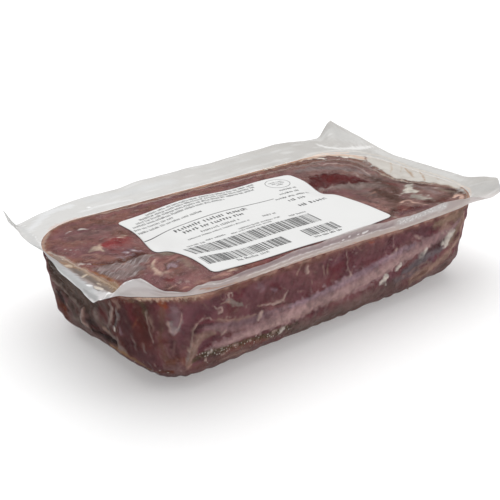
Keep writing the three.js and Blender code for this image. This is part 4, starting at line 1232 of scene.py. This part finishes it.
def margin_rings():
    """The margin's points, and the places that they had when the sheet was flat."""
    rim, _ = on_rim(ALONG)
    span = lid_edge() - rim
    width = np.linalg.norm(span, axis=-1)
    span /= width[:, None]
    shares = np.linspace(0, 1, MARGIN_RINGS + 1)
    folded = smooth(CREASE - CREASE_WIDTH, CREASE + CREASE_WIDTH, (shares[1:] + shares[:-1]) / 2)[:, None]
    slope = np.radians(margin_form(1) + (margin_form(2) - margin_form(1)) * folded)
    reach = np.cumsum(np.cos(slope) / MARGIN_RINGS, axis=0) * width
    rise = np.cumsum(np.sin(slope) / MARGIN_RINGS, axis=0) * width
    flat = rim + span * width[:, None] * shares[1:, None, None]
    waves = ripple(flat, 0.04, 51) * LONG_WAVE + ripple(flat, 0.015, 52) * SHORT_WAVE
    height = RIM_HEIGHT + RIM_LIFT + rise + waves * shares[1:, None]
    return np.dstack([rim + span * reach[..., None], height]), flat


def milky(code, cloud, light, veil, behind):
    """Film that looks like this code in its light and over what lies behind it, with its milkiness."""
    own = (hexed(code)[:3] - veil - (1 - cloud) * behind) / (cloud * light)
    return np.append(np.clip(own, 0.01, 1), cloud)


def over_table(code, cloud):
    return milky(code, cloud, light=1.2, veil=0.03, behind=1.0)


def over_meat(code, cloud):
    return milky(code, cloud, light=1.2, veil=0.02, behind=0.1)


def at_front(code, cloud):
    return milky(code, cloud, light=0.74, veil=0.03, behind=0.12)


# The marks of the lid, in the same form, with a colour's code and its milkiness for the tone

# The juice strip at the left end, with the cream line along the meat's edge
JUICE_MARKS = (
    (("8c807a", 0.62), 0.8, 0.8, 0, (54, 256, 4), (62, 261.5, 6), (70, 267, 8), (80, 273.5, 9),
     (90, 280.5, 10), (100, 286, 9), (110, 291, 5)),
    (("a88468", 0.7), 0.7, 0.9, 0, (60, 261, 2.4), (68, 265.5, 4), (75, 268, 3)),
    (("6a605a", 0.75), 0.8, 0.9, 0, (73, 268, 3), (78, 272, 5), (83, 276, 3.5)),
    (("6a605a", 0.75), 0.8, 0.9, 0, (86, 276, 4), (91, 279.5, 5), (97, 284, 3.5)),
    (("6a605a", 0.75), 0.7, 0.9, 0, (94, 287, 3), (99, 290.5, 3)),
    (("6a605a", 0.75), 0.7, 0.9, 0, (103, 287, 3.5), (108, 290.5, 3.5)),
    (("e0d6c8", 0.9), 0.9, 0.6, 0, (95, 287, 1.8), (99, 288.5, 2.4), (102, 289.5, 1.8)),
    (("d8c8b4", 0.85), 0.9, 0.7, 0, (82, 277.5, 1.8), (85, 275.5, 2), (87, 274, 1.4)),
    (("d8c8b4", 0.85), 0.8, 0.7, 0, (65, 266, 1.6), (69, 265.5, 2), (71, 267, 1.4)),
    (("d8c8b4", 0.85), 0.8, 0.7, 0, (97, 283, 1.2), (101, 285.5, 1.4)),
    (("baa594", 0.8), 0.8, 1, 0, (48, 252, 2.4), (62, 257.5, 2.2), (75, 265, 2.4), (90, 274, 2.4),
     (104, 281.5, 2.2), (119, 290, 1)),
    # a painted glint
    (("ffffff", 0.95), 0.95, 0.6, 0, (87.5, 285, 1.6), (90.5, 285.8, 1.8)),
)

# The pale skirt at the left end, over the table
LEFT_SKIRT_MARKS = (
    (("c6c7c7", 0.88), 0.9, 0.6, 0, (52, 262, 2), (60, 269.5, 4), (70, 277.5, 5), (80, 285.5, 6),
     (90, 294, 7), (96, 299, 5)),
    (("b0b0b0", 0.85), 0.7, 0.9, 0, (84, 289, 2), (90, 295, 5), (96, 300, 5)),
    # a painted highlight along the skirt's free edge
    (("f6f7f7", 0.95), 0.8, 0.7, 0, (49, 260.5, 0.3), (64, 275, 0.7), (80, 289, 0.5), (94, 302.5, 0.5)),
)

# The skirt at the near left corner, in front of the walls
FRONT_SKIRT_MARKS = (
    (("b6b5b5", 0.84), 0.8, 0.9, 0, (106, 299, 2.2), (120, 291, 8), (136, 284, 9), (150, 288, 6)),
    (("a8a6a6", 0.8), 0.7, 0.9, 0, (122, 294, 5), (138, 290, 6), (156, 291, 5)),
    # painted highlights along the skirt's free edges
    (("f4f5f5", 0.95), 0.9, 0.6, 0, (101, 299.5, 1.5), (115, 290, 0.3), (127, 282.5, 0.8),
     (138, 277.5, 0.5)),
    (("f0f1f1", 0.95), 0.8, 0.7, 0, (139, 278.5, 1), (150, 284.5, 1), (163, 290.5, 1), (178, 292.4, 1)),
    (("e6e8e8", 0.9), 0.7, 0.8, 0, (104, 298, 2), (110, 293, 1.7), (114, 290, 0.5)),
)

# The front margin
FRONT_MARGIN_MARKS = (
    (("a09997", 0.75), 0.8, 0.9, 0, (160, 292, 5), (190, 291, 6), (215, 286, 7), (240, 278.5, 7)),
    (("857c7e", 0.66), 0.8, 0.9, 0, (240, 274.5, 5), (270, 264, 5), (300, 252.5, 5), (330, 243, 5),
     (360, 233.5, 5), (392, 225, 5)),
    (("a79e99", 0.75), 0.8, 0.9, 0, (236, 281, 4), (270, 269.5, 5), (300, 258.5, 5), (330, 248.5, 5),
     (360, 239, 5), (398, 228, 5)),
    (("9c7c6c", 0.78), 0.8, 0.8, 0, (200, 289.5, 2), (240, 281.6, 0.8), (280, 267.9, 0.8),
     (320, 254.3, 0.8), (360, 241.5, 0.8), (400, 229.2, 0.8)),
    (("dcdada", 0.85), 0.6, 0.9, 0, (247, 276, 1.1), (280, 263, 1.2), (310, 252, 1.1), (340, 242, 0.9)),
    (("dcdada", 0.85), 0.5, 0.9, 0, (260, 274, 0.9), (300, 258.8, 1.1), (340, 245, 0.9)),
    (("dcdada", 0.85), 0.5, 0.9, 0, (340, 243, 1), (360, 236.8, 1.2), (380, 230.5, 1.1), (395, 227, 0.9)),
    (("e4e3e3", 0.9), 0.6, 0.8, 0, (190, 288, 0.3), (215, 284, 1), (238, 277, 0.8)),
    (("eeeeee", 0.92), 0.8, 0.7, 0, (342.5, 240, 1.3), (344, 239.5, 1.3)),
    (("eeeeee", 0.92), 0.8, 0.7, 0, (349.5, 236.5, 1.3), (351, 236, 1.3)),
    (("eeeeee", 0.92), 0.8, 0.7, 0, (357.5, 234.5, 1.3), (359, 234, 1.3)),
    (("eeeeee", 0.92), 0.8, 0.7, 0, (363, 232.8, 1.2), (368, 231, 1.2)),
)

# The frosted strip at its right end
FROSTED_STRIP = (
    (("a8a6a5", 0.8), 0.9, 0.8, 0, (402, 221.5, 7), (420, 214.5, 8), (445, 206, 7)),
)

# The darker edge of the strip
STRIP_EDGE = (
    (("aaa29d", 0.8), 0.8, 0.9, 0, (400, 229, 2), (420, 222, 2.5), (445, 212.5, 2.8), (458, 207, 3)),
)

# The folded flap, the glare and the sealed band at the far right
RIGHT_MARGIN_MARKS = (
    (("cfcecb", 0.92), 0.9, 0.7, 0, (321, 139, 5), (330, 131, 9), (342, 136, 11), (360, 142, 8)),
    # painted highlights: on the flap, and along the crease at its foot
    (("f0f0ef", 0.95), 0.8, 0.7, 0, (321, 135, 1.1), (331, 135.8, 0.9)),
    (("ebeae8", 0.96), 0.9, 0.7, 0, (318, 144, 3), (328, 147.5, 5), (346, 148.5, 5), (362, 148, 5),
     (371, 147, 3)),
    (("d1d0cd", 0.88), 0.8, 0.8, 0, (378, 151, 7), (400, 159.5, 8), (425, 168, 8), (446, 174.5, 7),
     (460, 180, 6)),
    (("bebcb9", 0.92), 0.9, 0.7, 0, (468, 189, 12), (482, 188, 15), (494, 187, 12)),
    (("d0cfcd", 0.9), 0.5, 0.9, 0, (470, 186, 2), (480, 183, 2.4), (492, 181, 2)),
)

# The clear wedge between meat and weld, its stains and trickles
WEDGE_MARKS = (
    (("cdc8c1", 0.9), 0.95, 0.7, 0, (371, 161, 8), (384, 166, 12), (400, 171, 13), (420, 177, 9),
     (440, 181, 6), (456, 185, 4)),
    (("cdc8c1", 0.9), 0.7, 0.9, 0, (300, 159, 3), (316, 153, 3), (335, 150.5, 3), (352, 151, 3),
     (366, 153, 3)),
    (("d3b7a4", 0.88), 1, 0.8, 0, (306, 160, 3), (320, 156.4, 4.4), (335, 155, 5), (350, 155.6, 5),
     (364, 158.6, 4.4)),
    (("7a5040", 0.85), 0.9, 0.9, 0, (296, 166.8, 1.4), (310, 163.4, 2.4), (322, 161.2, 2.6),
     (335, 159.6, 2.4), (350, 161, 2.8), (362, 164, 3), (368, 167.4, 3), (376, 171.6, 2)),
    (("d9b9a0", 0.8), 0.8, 0.9, 0, (300, 161.5, 2), (315, 155.5, 2.4), (330, 153, 2.4),
     (348, 152.5, 2.4)),
    (("f0e4d8", 0.95), 1, 0.4, 0, (321.2, 158.6, 3), (323.4, 158.6, 3)),
    (("f0e4d8", 0.95), 1, 0.4, 0, (345.2, 157.6, 3), (347.4, 157.8, 3)),
    (("ece0d2", 0.95), 1, 0.4, 0, (341.2, 156.6, 2), (342.4, 156.6, 2)),
    (("ece0d2", 0.95), 1, 0.4, 0, (337.6, 156.4, 1.6), (338.6, 156.4, 1.6)),
    (("e6d6c6", 0.9), 1, 0.4, 0, (350.6, 156.2, 1.5), (351.4, 156.2, 1.5)),
    (("6e4632", 0.9), 0.9, 0.8, 0, (365.3, 156.4, 1.6), (366, 160, 2.2), (367.5, 164.5, 2)),
    (("c6b8a6", 0.85), 0.65, 1, 0, (367, 153.5, 1.4), (385, 157.2, 1.6), (398, 162, 1.8), (412, 168, 2),
     (430, 173, 2), (450, 179.5, 1.7), (463, 186.5, 1.6)),
    (("b9a186", 0.85), 0.8, 1, 0, (390.5, 163, 1.2), (391.5, 168, 2), (391, 172.5, 1.2)),
    (("b9a186", 0.85), 0.7, 1, 0, (401, 166, 1), (401.5, 169, 1.4), (401, 172, 1)),
    (("ae8e70", 0.85), 0.8, 1, 0, (405, 168.5, 1.4), (409, 171.5, 2.4), (412, 175, 2.4), (413, 178, 1.4)),
    (("ae8e70", 0.85), 0.85, 1, 0, (419, 171, 1.2), (423, 176, 2), (424.5, 180.5, 1.8)),
    (("b9a186", 0.85), 0.7, 1, 0, (436, 177, 1), (438, 179.5, 1.2)),
    (("a98a70", 0.85), 0.95, 0.8, 0, (374, 170, 1.6), (390, 177.5, 1.7), (402, 181, 1.7), (420, 183, 1.7),
     (440, 184.5, 1.6), (456, 188, 1.6)),
    (("8a5c42", 0.85), 0.95, 0.9, 0, (461, 187.5, 2.2), (466, 190.5, 2.4), (468, 194.5, 2.4),
     (466, 198, 2)),
    (("cbb09a", 0.85), 0.7, 1, 0, (463, 185.5, 1.8), (470, 190, 2), (471, 196, 1.6)),
)

# The far margin and the left tip, with painted glare, a painted glint and painted highlights along the
# tip's edge
FAR_MARGIN_MARKS = (
    # painted glare
    (("e6e7e8", 0.86), 0.8, 0.9, 0, (30, 230, 5), (48, 213, 8), (70, 206, 6)),
    (("d3d4d4", 0.8), 0.6, 0.9, 0, (90, 200, 10), (130, 192, 10), (170, 182, 10)),
    # painted glare
    (("e9eaea", 0.86), 0.6, 0.9, 0, (80, 212, 3), (100, 206, 3), (130, 200, 2.4)),
    (("dcdcda", 0.85), 0.5, 0.9, 0, (170, 190, 2.4), (210, 180, 3), (250, 168, 3), (290, 158, 2.4)),
    (("ccccca", 0.85), 0.5, 0.9, 0, (200, 172, 4), (250, 158, 5), (290, 148, 4)),
    # a painted glint
    (("ffffff", 0.96), 0.9, 0.6, 0, (88, 207, 1.2), (89, 208.6, 1.5), (90.5, 209.6, 1.6)),
    (("d0d0cf", 0.88), 0.8, 0.8, 0, (5, 212, 3), (13, 219, 5), (22, 228, 5), (32, 238, 5), (42, 249, 4)),
    # painted highlights along the tip's edge
    (("f2f3f3", 0.95), 0.6, 0.8, 0, (20, 224, 0.8), (32, 234, 0.9), (44, 246, 0.9)),
)

# Dark specks caught in the far weld
FAR_SPECKS = (
    (("6a5a50", 0.9), 0.8, 0.8, 0, (126, 205.5, 0.8), (126.3, 207.5, 1.2)),
    (("6a5a50", 0.9), 0.7, 0.8, 0, (98.5, 212.2, 1), (100, 212.5, 1.2)),
    (("6a5a50", 0.9), 0.6, 0.8, 0, (157.5, 199, 1), (159, 198.6, 1)),
)

# The stained outline of the meat
OUTLINE_MARKS = (
    (("a87c68", 0.7), 0.7, 0.9, 0, (50, 229, 2), (60, 224, 3), (80, 217.5, 2), (110, 212, 2),
     (150, 202, 2), (200, 189, 2), (250, 177.5, 2), (290, 168, 2)),
    (("b4907c", 0.65), 0.8, 0.9, 0, (50, 230, 3), (45, 239, 3.6), (43, 248, 3.6), (47, 254, 3)),
)


def paint_lid(flat, lid_ground, margin_ground):
    """The haze of the lid: nearly clear over the meat, milky over the gaps and on the margin."""
    skin = Skin(np.vstack([outer_plan, flat]), hexed("c4beb9", 0.015))
    outside = np.zeros(flat.shape[:2])
    over = np.vstack([off_meat, outside])
    margin = np.vstack([np.zeros_like(off_meat), outside + 1])
    right = smooth(-0.15, 0.15, skin.places[:, 0]).reshape(over.shape)
    skin.wash(over_meat("b08c78", 0.6), over)
    skin.wash(over_meat("c9c3bb", 0.9), over * stretch_of_rim(*WEDGE))
    skin.wash(over_meat("96826f", 0.45), over * stretch_of_rim(*LEFT_STRIP))
    skin.wash(over_table("d9d8d6", 0.8), margin)
    skin.wash(over_table("c2bfbb", 0.84), margin * right)
    skin.wash(at_front("9f9795", 0.72), margin * stretch_of_rim(*FRONT_STRETCH))
    skin.wash(at_front("b4b1b1", 0.8), margin * stretch_of_rim(*CORNER_STRETCH, 0.014))
    skin.wash(over_table("d2d3d4", 0.86), margin * stretch_of_rim(*LEFT_STRETCH))
    # Streaks over the margin: the lighter ones are painted glare, with darker ones between them
    streaks = ripple(skin.places * np.array([0.3, 1.0]), 0.009, 53).reshape(over.shape)
    skin.wash(over_table("ebebea", 0.85), margin * 0.35 * smooth(0.5, 1.6, streaks))
    skin.wash(over_table("c2c1bf", 0.8), margin * 0.3 * smooth(0.5, 1.6, -streaks))
    skin.lay(lid_ground, JUICE_MARKS, over_meat)
    skin.lay(margin_ground, LEFT_SKIRT_MARKS, over_table)
    skin.lay(margin_ground, FRONT_SKIRT_MARKS + FRONT_MARGIN_MARKS, at_front)
    skin.lay(margin_ground, FROSTED_STRIP, at_front, extra=1)
    skin.lay(margin_ground, STRIP_EDGE, at_front)
    skin.lay(margin_ground, RIGHT_MARGIN_MARKS, over_table)
    skin.lay(lid_ground, WEDGE_MARKS, over_meat)
    skin.lay(margin_ground, FAR_MARGIN_MARKS, over_table)
    skin.lay(lid_ground, FAR_SPECKS + OUTLINE_MARKS, over_meat)
    return skin


def make_lid_film():
    margin_points, flat = margin_rings()
    lifted = top_height(outer_plan) + RIM_LIFT * lift_share
    lid_points = np.vstack([np.dstack([outer_plan, lifted]), margin_points])
    lid_ground = Ground(lid_points, np.vstack([outer_plan, flat]))
    skin = paint_lid(flat, lid_ground, Ground(margin_points, flat))
    points = np.vstack([top_film, margin_points])
    points[..., 2] += skin.rise.reshape(points.shape[:2])
    haze = skin.color.reshape(*points.shape[:2], 4)
    haze[TOP_RINGS - 1] = haze[TOP_RINGS]
    lid = rings_to_mesh("lid_film", points, cap_start=True)
    store(lid, "film_color", skin.color)
    store(lid, "film_place", np.column_stack([skin.places, skin.extra]))
    return lid


def lid_film_material():
    material, wire = new_material("lid_film")
    place = wire.node("Attribute", output=1, attribute_name="film_place")
    tint = wire.node("Attribute", output=0, attribute_name="film_color")
    cloud = wire.node("Attribute", output=3, attribute_name="film_color")
    frost = wire.node("SeparateXYZ", {0: place}, output=2)
    patch = place.stretch((1, 1, 0)).noise(0.02, 3.0, 0.5)
    fine = place.stretch((1, 1, 0)).noise(0.0012, 2.0, 0.6)
    cloud = cloud * (0.86 + patch * 0.28) + frost * fine.step(0.5, 0.62) * 0.25
    tint = (frost * fine.step(0.5, 0.62) * 0.6).blend(tint, (0.92, 0.92, 0.92, 1))
    normal = (patch * 0.6 + fine * 0.1).bump(0.0015)
    film_shader(wire, tint, cloud, normal, LID_MIRROR, LID_GRAZING, 0.18).show()
    return material


lid_film = make_lid_film()
lid_film.data.materials.append(lid_film_material())
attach(lid_film, "root")
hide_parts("lid_film")

# Bubbles
# Beads of trapped air and juice between the films and the meat: a row at the far right, some in the
# strip at the left end, and fine ones along the foot of the front.

BEAD_FLATNESS = 0.45
BEAD_SIDES = 8
BEAD_SHOULDER = (0.6, 0.8)

# Groups of beads in millimetres: a route beside which they lie, on the top's plan or by distance along
# the rim and height, how many, their least and greatest radius, how far they stray and a seed
BEADS_ON_TOP = (
    ([(58, 71), (66, 73), (80, 73)], 9, (0.8, 1.9), 1.4, 81),
    ([(-137, 30), (-137, 0), (-136, -30)], 12, (0.3, 0.8), 1.6, 82),
    ([(100, 66), (112, 58), (126, 42)], 6, (0.3, 0.7), 1.4, 83),
)
BEADS_ON_WALLS = (
    ([(26, 21), (46, 19), (70, 16), (92, 14)], 46, (0.2, 0.5), 1.6, 84),
    ([(-20, 14), (-8, 12), (4, 12)], 12, (0.2, 0.45), 3.0, 85),
)


def scattered(route, count, size, spread, seed):
    """Places and radii of beads strewn beside a route."""
    random = np.random.default_rng(seed)
    line = curve_through(np.array(route, float))
    places = line[random.integers(0, len(line), count)] + random.normal(0, spread, (count, 2))
    return places / 1000, random.uniform(*size, count) / 1000


def add_bead(points, faces, middle, across, up, out, radius):
    """One low dome, from its foot over its shoulder to its crown."""
    first = len(points)
    for level, width in ((0.0, 1.0), BEAD_SHOULDER):
        for turn in range(BEAD_SIDES):
            angle = turn * 2 * math.pi / BEAD_SIDES
            side = across * math.cos(angle) + up * math.sin(angle)
            points.append(middle + radius * (side * width + out * level * BEAD_FLATNESS))
    points.append(middle + radius * out * BEAD_FLATNESS)
    shoulder, crown = first + BEAD_SIDES, first + 2 * BEAD_SIDES
    for turn in range(BEAD_SIDES):
        after = (turn + 1) % BEAD_SIDES
        faces.append((first + turn, first + after, shoulder + after, shoulder + turn))
        faces.append((shoulder + turn, shoulder + after, crown))


def make_bubbles():
    points, faces = [], []
    for beads in BEADS_ON_TOP:
        for place, radius in zip(*scattered(*beads)):
            add_bead(points, faces, np.append(place, top_height(place)), *np.eye(3), radius)
    for beads in BEADS_ON_WALLS:
        for place, radius in zip(*scattered(*beads)):
            nearest = np.abs(wall_places - place).sum(-1).argmin()
            row, column = np.unravel_index(nearest, wall_places.shape[:2])
            out = wall_normals[row, column]
            across = np.cross([0, 0, 1.0], out)
            across /= np.linalg.norm(across)
            middle = wall_points[row, column] + wall_relief[row, column]
            add_bead(points, faces, middle, across, np.cross(out, across), out, radius)
    mesh = bpy.data.meshes.new("bubbles")
    mesh.from_pydata([tuple(point) for point in points], [], faces)
    mesh.shade_smooth()
    return link(bpy.data.objects.new("bubbles", mesh))


def bubble_material():
    material, wire = new_material("bubbles")
    tone = wire.node("TexCoord", output=3).noise(0.01)
    color = tone.blend(tuple(hexed("d9cbb8", 1)), tuple(hexed("efe9e0", 1)))
    sockets = {"Base Color": color, "Roughness": 0.15, "Specular IOR Level": 0.5}
    bead = wire.node("BsdfPrincipled", sockets)
    wire.node("MixShader", {0: 0.6, 1: wire.node("BsdfTransparent"), 2: bead}).show()
    return material


bubbles = make_bubbles()
bubbles.data.materials.append(bubble_material())
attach(bubbles, "root")

# Label
# A plain white self-adhesive label with round corners, pressed on to the lid by hand, so that it dips
# into the hollows of the meat below.

LABEL_CORNER = 0.004
LABEL_PAPER = 0.00015
LABEL_STEP = 0.001
LABEL_GAP = 0.0001


def label_height(places):
    return top_height(places) + LABEL_PAPER + LABEL_GAP


def make_label():
    rows = np.linspace(0, LABEL_WIDTH, round(LABEL_WIDTH / LABEL_STEP) + 1)
    shares = np.linspace(-0.5, 0.5, round(LABEL_LENGTH / LABEL_STEP) + 1)
    corner = np.maximum(LABEL_CORNER - np.minimum(rows, LABEL_WIDTH - rows), 0)
    lengths = LABEL_LENGTH - 2 * (LABEL_CORNER - np.sqrt(LABEL_CORNER**2 - corner**2))
    x = LABEL_LEFT + LABEL_LENGTH / 2 + lengths[:, None] * shares
    y = np.broadcast_to(LABEL_FRONT + rows[:, None], x.shape)
    plan = np.dstack([x, y])
    points = np.dstack([plan, label_height(plan)]).reshape(-1, 3)
    width = x.shape[1]
    first = (np.arange(x.shape[0] - 1)[:, None] * width + np.arange(width - 1)).ravel()
    faces = np.column_stack([first, first + 1, first + 1 + width, first + width])
    mesh = bpy.data.meshes.new("label")
    mesh.from_pydata(points.tolist(), [], faces.tolist())
    mesh.shade_smooth()
    label = link(bpy.data.objects.new("label", mesh))
    thick = label.modifiers.new("paper", "SOLIDIFY")
    thick.thickness = LABEL_PAPER
    return label


def paper_material():
    material, wire = new_material("label_paper")
    place = wire.node("TexCoord", output=3)
    fibre = place.noise(0.0008, 3.0, 0.6)
    cloud = place.noise(0.03)
    color = cloud.blend(tuple(hexed("d6d6d5", 1)), tuple(hexed("d0d0cf", 1)))
    sockets = {"Base Color": color, "Roughness": 0.5 + fibre * 0.1, "Normal": fibre.bump(0.00003)}
    wire.node("BsdfPrincipled", sockets).show()
    return material


label = make_label()
label.data.materials.append(paper_material())
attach(label, "root")
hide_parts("label")

# Label print
# Plain black and grey print on the label: rows of small marks, a thin rule, three bar fields with
# marks below them and an oval stamp. Every mark is a bar of ink laid on the paper.

INK_LIFT = 0.00005
INK_CELL = 1.6

# Rows of marks in millimetres from the label's left and front edges: start, end, front edge, height,
# width of a mark
MARK_ROWS = (
    (20, 108, 98.6, 1.9, 0.4), (13, 106, 94.8, 1.9, 0.4), (8, 103, 91, 1.9, 0.4),
    (3, 74, 87, 1.9, 0.4), (1.5, 30, 82.6, 1.7, 0.4), (1.5, 49, 78.2, 1.7, 0.4),
    (20, 76, 65.4, 2.6, 0.8), (23, 69, 60, 2.4, 0.75), (32, 61, 54.6, 1.7, 0.5),
    (19, 66, 50.2, 1.2, 0.36), (77, 88, 50, 1.6, 0.5), (11, 24, 40, 1.5, 0.45),
    (26, 41, 42, 1.4, 0.4), (44, 76, 40.4, 1.2, 0.36), (52, 85, 43.2, 1.2, 0.36),
    (91, 105, 40.6, 1.5, 0.45), (22, 45, 5.4, 1.8, 0.5), (82, 105, 6.2, 1.7, 0.5),
    (116, 130.5, 79.4, 1.5, 0.45), (111.5, 128.5, 74, 1.7, 0.5), (103, 132.5, 68.2, 1.6, 0.5),
    (109, 124, 61.6, 2.4, 0.8), (109, 132.5, 50.6, 2.8, 0.9), (117.5, 129.5, 93.5, 0.9, 0.34),
    (118.5, 129.5, 90.9, 0.9, 0.34), (120.5, 126.5, 88.3, 0.9, 0.34),
)
# The marks of a row: how many stand together, their heights, the share that has a short bar across, the
# places and the height of that bar, all in heights of the row, and then sizes in widths of a mark
MARKS_TOGETHER = (3, 10)
MARK_HEIGHTS = (0.95, 1.15, 1.4)
CROSSED_SHARE = 0.7
CROSSBAR_PLACES = (0, 0.4, 0.8)
CROSSBAR_HEIGHT = 0.25
MARK_WIDTH = 1.2
CROSSBAR_WIDTH = 2.4
MARK_STEPS = (2.6, 3.2)
MARK_GAP = 2.4

# Bar fields: start, end, front edge, back edge and seed, with the widths of their bars and gaps
BAR_FIELDS = ((6, 105.5, 24.6, 38, 91), (3.6, 66.4, 8.8, 19.4, 92), (81, 108.6, 9.6, 19.8, 93))
BAR_WIDTHS = (0.33, 0.33, 0.66, 0.99)

# A rule from left to right, and an oval stamp
RULE = (0.6, 103, 71, 71.6)
STAMP_MIDDLE = (123.5, 91.5)
STAMP_RADII = (9.6, 7.9)
STAMP_LINE = 0.35
STAMP_SIDES = 60


def ink_patch(points, faces, corners):
    """A four-cornered patch of ink, cut into cells so that it follows the paper."""
    corners = np.array(corners, float)
    rows = max(1, math.ceil(np.linalg.norm(corners[3] - corners[0]) / INK_CELL))
    columns = max(1, math.ceil(np.linalg.norm(corners[1] - corners[0]) / INK_CELL))
    first = len(points)
    for v in np.linspace(0, 1, rows + 1):
        for u in np.linspace(0, 1, columns + 1):
            low = corners[0] + (corners[1] - corners[0]) * u
            high = corners[3] + (corners[2] - corners[3]) * u
            points.append(low + (high - low) * v)
    for row in range(rows):
        for column in range(columns):
            corner = first + row * (columns + 1) + column
            faces.append((corner, corner + 1, corner + columns + 2, corner + columns + 1))


def ink_bar(points, faces, left, right, front, back):
    ink_patch(points, faces, [(left, front), (right, front), (right, back), (left, back)])


def ink_row(points, faces, random, start, end, front, height, width):
    """A row of small upright marks in groups, some with a short bar across."""
    place = start
    while place < end:
        for _ in range(random.integers(*MARKS_TOGETHER)):
            back = front + height * random.choice(MARK_HEIGHTS)
            ink_bar(points, faces, place, min(place + width * MARK_WIDTH, end), front, back)
            if random.random() < CROSSED_SHARE:
                low = front + height * random.choice(CROSSBAR_PLACES)
                right = min(place + width * CROSSBAR_WIDTH, end)
                ink_bar(points, faces, place, right, low, low + height * CROSSBAR_HEIGHT)
            place += width * random.choice(MARK_STEPS)
            if place >= end:
                break
        place += width * MARK_GAP


def ink_bar_field(points, faces, start, end, front, back, seed):
    """Upright bars of a few widths, with gaps of the same widths."""
    random = np.random.default_rng(seed)
    place = start
    while place < end - 1:
        width = random.choice(BAR_WIDTHS)
        ink_bar(points, faces, place, place + width, front, back)
        place += width + random.choice(BAR_WIDTHS)


def ink_stamp(points, faces):
    turns = np.linspace(0, 2 * math.pi, STAMP_SIDES + 1)
    circle = np.column_stack([np.cos(turns), np.sin(turns)])
    outer = STAMP_MIDDLE + circle * STAMP_RADII
    inner = STAMP_MIDDLE + circle * (np.array(STAMP_RADII) - STAMP_LINE)
    for k in range(STAMP_SIDES):
        ink_patch(points, faces, [inner[k], outer[k], outer[k + 1], inner[k + 1]])


def make_print():
    random = np.random.default_rng(90)
    points, faces = [], []
    for row in MARK_ROWS:
        ink_row(points, faces, random, *row)
    for field in BAR_FIELDS:
        ink_bar_field(points, faces, *field)
    ink_bar(points, faces, *RULE)
    ink_stamp(points, faces)
    plan = np.array(points) / 1000 + np.array([LABEL_LEFT, LABEL_FRONT])
    places = np.column_stack([plan, label_height(plan) + INK_LIFT])
    mesh = bpy.data.meshes.new("label_print")
    mesh.from_pydata(places.tolist(), [], faces)
    return link(bpy.data.objects.new("label_print", mesh))


def ink_material():
    material, wire = new_material("label_ink")
    worn = wire.node("TexCoord", output=3).noise(0.002)
    color = worn.step(0.35, 0.7).blend(tuple(hexed("202020", 1)), tuple(hexed("444444", 1)))
    wire.node("BsdfPrincipled", {"Base Color": color, "Roughness": 0.6}).show()
    return material


label_print = make_print()
label_print.data.materials.append(ink_material())
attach(label_print, "root")
